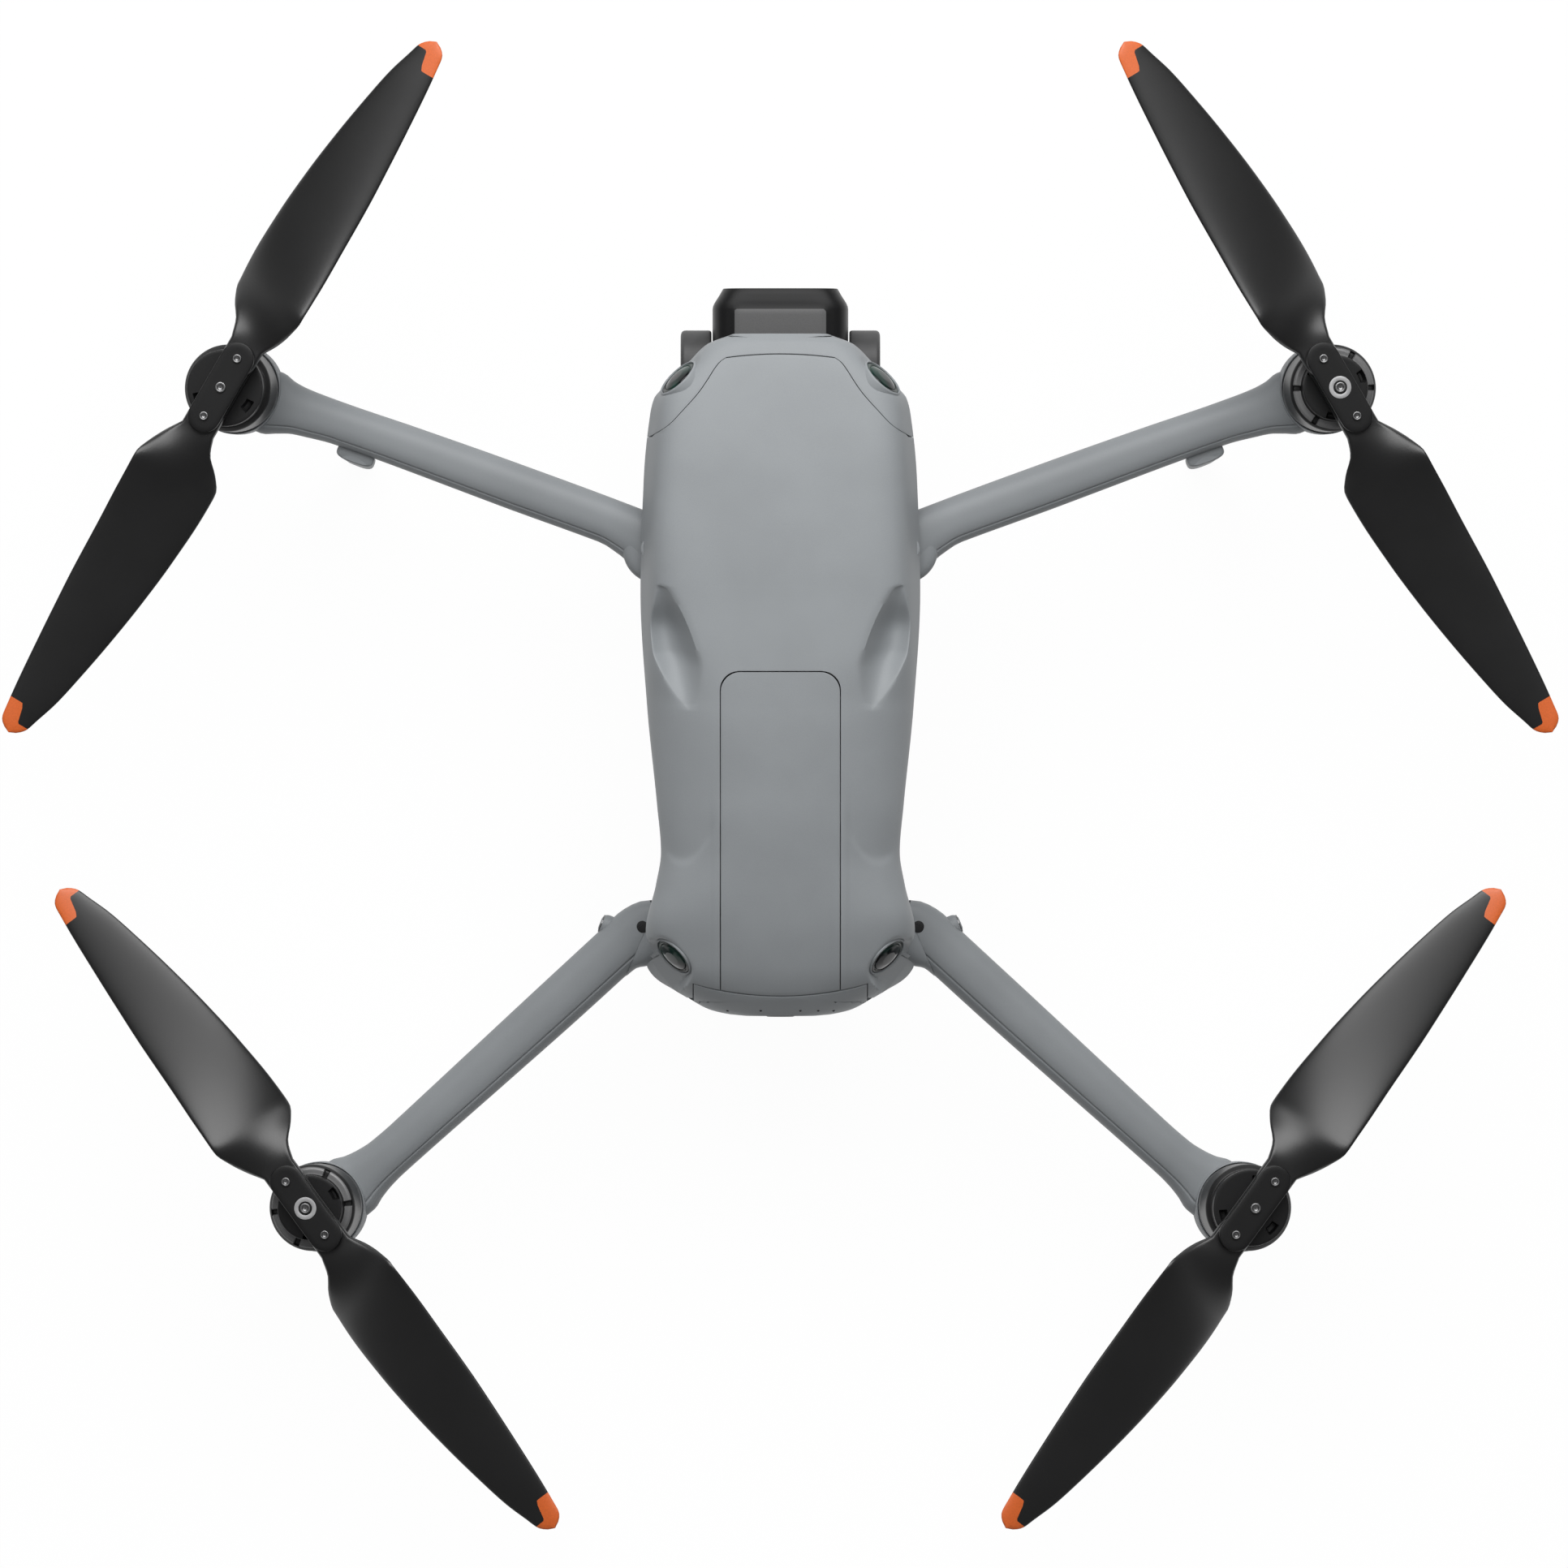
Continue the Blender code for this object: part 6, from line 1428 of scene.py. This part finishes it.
def yoke_surface():
    """Fork of the gimbal: a rounded bar across the back, and two rounded arms with a turned pod on each."""
    near, far = YOKE_INNER + YOKE_INSET, YOKE_OUTER - YOKE_INSET
    first, second, third = YOKE_STARTS
    y = np.concatenate([[YOKE_BACK + first, YOKE_BACK + second], np.linspace(YOKE_BACK + third, TILT_Y, 12)])
    tuck = np.concatenate([YOKE_START_SHARES, np.ones(12)])[:, None]
    across, up = superellipse(np.arange(40)[None] / 40 * 2 * math.pi, YOKE_SQUARENESS)
    top, dish = YOKE_OUTER, YOKE_OUTER - POD_DISH
    pod = turned(softened([(0.0, YOKE_INNER), (POD_RADIUS, YOKE_INNER), (POD_RADIUS, dish),
                           (POD_RADIUS - POD_CHAMFER, top), (POD_RADIUS * POD_RIM_SHARE, top),
                           (POD_RADIUS * POD_DISH_SHARE, dish), (0.0, dish)], radius=0.0008))
    parts = []
    for _, side in SIDES:
        x = side * ((near + far) / 2 + (far - near) / 2 * across * tuck)
        parts.append(capped(x, y[:, None] + 0 * x, ROLL_Z + YOKE_HALF_HEIGHT * up * tuck))
        parts.append(placed(pod, (0.0, TILT_Y, ROLL_Z), facing((side, 0.0, 0.0))))
    x = np.linspace(-far, far, 30)[:, None]
    tuck = np.where(np.abs(x) > far - YOKE_END, YOKE_END_SHARE, 1.0)
    y = YOKE_BACK + YOKE_BAR_HALF + YOKE_BAR_HALF * across * tuck
    parts.append(capped(x + 0 * y, y, ROLL_Z + YOKE_HALF_HEIGHT * up * tuck))
    return joined(*parts)


class DRONE_OT_gimbal(bpy.types.Operator):
    """Gimbal fork with its motor pods, and the camera body"""
    bl_idname = "drone.gimbal"
    bl_label = "Gimbal Camera"

    def execute(self, context):
        surface, cover = camera_surface()
        piece("camera_skin", surface, "camera", "camera", ("camera_housing",),
              marks={"cover": cover})
        piece("gimbal_fork", yoke_surface(), "gimbal_roll", "pod", ("gimbal_roll_yoke",))
        return {"FINISHED"}


class DRONE_OT_windows(bpy.types.Operator):
    """Corner sensor windows with their bezels"""
    bl_idname = "drone.windows"
    bl_label = "Sensor Windows"

    def execute(self, context):
        dome = [(0.0, -SENSOR_DEPTH), (SENSOR_RADIUS, -SENSOR_DEPTH), (SENSOR_RADIUS, -WINDOW_RISE)]
        dome += [(SENSOR_RADIUS * share, WINDOW_RISE * rise) for share, rise in WINDOW_FACE]
        window = turned(softened(dome, radius=0.0003))
        bezel = turned(softened([(SENSOR_RADIUS + out, up) for out, up in BEZEL], radius=0.0002, steps=3))
        for end, (at, look) in SENSORS.items():
            for name, side in SIDES:
                place = on_side(at, side), facing(on_side(look, side))
                piece(f"{end}_{name}_window", placed(window, *place), "airframe", "glass",
                      (f"{end}_{name}_vision_sensor",))
                piece(f"{end}_{name}_bezel", placed(bezel, *place), "airframe", "trim")
        return {"FINISHED"}


class DRONE_OT_solids(bpy.types.Operator):
    """Finishes of the solid pieces that stay as they are"""
    bl_idname = "drone.solids"
    bl_label = "Solid Pieces"

    def execute(self, context):
        by_node = {
            "mainboard": "board", "heat_sink": "aluminium", "fan_frame": "dark", "fan_rotor": "dark",
            "belly_sensor_panel": "glass", "gimbal_damper_plate": "dark", "battery_cells": "wrap",
            "power_button": "battery", "battery_buckle_left": "battery", "battery_buckle_right": "battery",
            "gimbal_yaw_arm": "pod", "wide_lens": "glass", "tele_lens": "glass",
            "rear_left_foot": "rubber", "rear_right_foot": "rubber",
        }
        for end in ENDS:
            for name, _ in SIDES:
                by_node[f"{end}_{name}_hinge_pin"] = "steel"
        made = finishes()
        for node, solid in frame["nodes"].items():
            finish = made[by_node.get(node, "shell")]
            if not solid.material_slots:
                solid.data.materials.append(finish)
            for place in solid.material_slots:
                place.material = finish
        return {"FINISHED"}


# Stage

class DRONE_OT_stage(bpy.types.Operator):
    """Floor, soft light and the camera looking straight down"""
    bl_idname = "drone.stage"
    bl_label = "Stage"

    def execute(self, context):
        stage = context.scene.drone_stage
        scene = context.scene
        scene.view_settings.view_transform = "Standard"
        x = np.linspace(-FLOOR_REACH, FLOOR_REACH, 9)
        points, quads = grid(x[None, :], x[:, None], 0.0 * x[None, :])
        mesh = bpy.data.meshes.new("floor")
        mesh.from_pydata(points.tolist(), [], quads.tolist())
        floor = bpy.data.objects.new("floor", mesh)
        scene.collection.objects.link(floor)
        floor.location.z = -FLOOR_DROP
        mesh.materials.append(self.floor_finish(stage))
        world = bpy.data.worlds.new("surroundings")
        world.use_nodes = True
        scene.world = world
        background = world.node_tree.nodes["Background"]
        background.inputs["Color"].default_value = WHITE
        background.inputs["Strength"].default_value = stage.fill
        self.softbox("key_softbox", KEY_AT, KEY_TARGET, KEY_SIZE, stage.key)
        top = self.softbox("top_softbox", TOP_AT, TOP_TARGET, TOP_SIZE, stage.top)
        top.visible_glossy = False
        camera = bpy.data.objects.new("camera", bpy.data.cameras.new("camera"))
        scene.collection.objects.link(camera)
        camera.location = (VIEW_X, VIEW_Y, stage.distance)
        camera.data.sensor_width = FILM_WIDTH
        camera.data.lens = FILM_WIDTH * (stage.distance - VIEW_FOCUS_Z) / stage.frame_width
        camera.data.clip_end = VIEW_CLIP
        scene.camera = camera
        return {"FINISHED"}

    def softbox(self, name, at, target, size, power):
        """Rectangular lamp at a point, turned to its target."""
        lamp = bpy.data.lights.new(name, "AREA")
        lamp.shape = "RECTANGLE"
        lamp.size, lamp.size_y = size
        lamp.energy = power
        holder = bpy.data.objects.new(name, lamp)
        bpy.context.scene.collection.objects.link(holder)
        rows = np.eye(4)
        rows[:3, :3] = facing(np.array(at) - np.array(target)).T
        rows[:3, 3] = at
        holder.matrix_world = Matrix(rows.tolist())
        return holder

    def floor_finish(self, stage):
        """Pale floor that the camera, mirrors and glass see as plain white, with a faint shadow."""
        finish = Finish("pale_floor")
        fine = finish.place.noise(40.0, detail=2.0)
        finish.set(Base_Color=fine.step(0.2, 0.8).mix(shade(stage.floor, 0.99), stage.floor), Roughness=0.9)
        rays = "Is Camera Ray", "Is Glossy Ray", "Is Transmission Ray"
        camera, glossy, clear = (finish.start.node("ShaderNodeLightPath", None, None, ray) for ray in rays)
        seen = finish.start.maths("MAXIMUM", finish.start.maths("MAXIMUM", camera, glossy), clear)
        glow = finish.start.node("ShaderNodeEmission", None, {"Color": WHITE, "Strength": FLOOR_GLOW})
        body = Wire(finish.tree, finish.shader.outputs[0])
        values = {0: seen * FLOOR_GLOW_SHARE, 1: body, 2: glow}
        mixed = finish.start.node("ShaderNodeMixShader", None, values)
        finish.tree.links.new(mixed.socket, finish.tree.nodes["Material Output"].inputs["Surface"])
        return finish.material


class DRONE_PT_panel(bpy.types.Panel):
    """Lists the builders and their settings"""
    bl_idname = "DRONE_PT_panel"
    bl_label = "Quadcopter"
    bl_space_type = "VIEW_3D"
    bl_region_type = "UI"
    bl_category = "Quadcopter"

    def draw(self, context):
        for builder in BUILDERS:
            self.layout.operator(builder.bl_idname)
        for group in settings():
            for name in group.__annotations__:
                self.layout.prop(group, name)


BUILDERS = (
    DRONE_OT_upper_shell, DRONE_OT_lower_shell, DRONE_OT_battery, DRONE_OT_arms, DRONE_OT_rotors,
    DRONE_OT_gimbal, DRONE_OT_windows, DRONE_OT_solids, DRONE_OT_stage,
)
CLASSES = (DroneFinishes, DroneSizes, DroneStage, *BUILDERS, DRONE_PT_panel)


def register():
    """Registers the classes and puts the settings on the scene."""
    for made in CLASSES:
        bpy.utils.register_class(made)
    bpy.types.Scene.drone_finishes = bpy.props.PointerProperty(type=DroneFinishes)
    bpy.types.Scene.drone_sizes = bpy.props.PointerProperty(type=DroneSizes)
    bpy.types.Scene.drone_stage = bpy.props.PointerProperty(type=DroneStage)


def unregister():
    """Takes the settings and the classes away again."""
    del bpy.types.Scene.drone_stage, bpy.types.Scene.drone_sizes, bpy.types.Scene.drone_finishes
    for made in reversed(CLASSES):
        bpy.utils.unregister_class(made)


def main():
    """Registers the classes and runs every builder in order."""
    register()
    for builder in BUILDERS:
        group, name = builder.bl_idname.split(".")
        getattr(getattr(bpy.ops, group), name)()


if __name__ == "__main__":
    main()
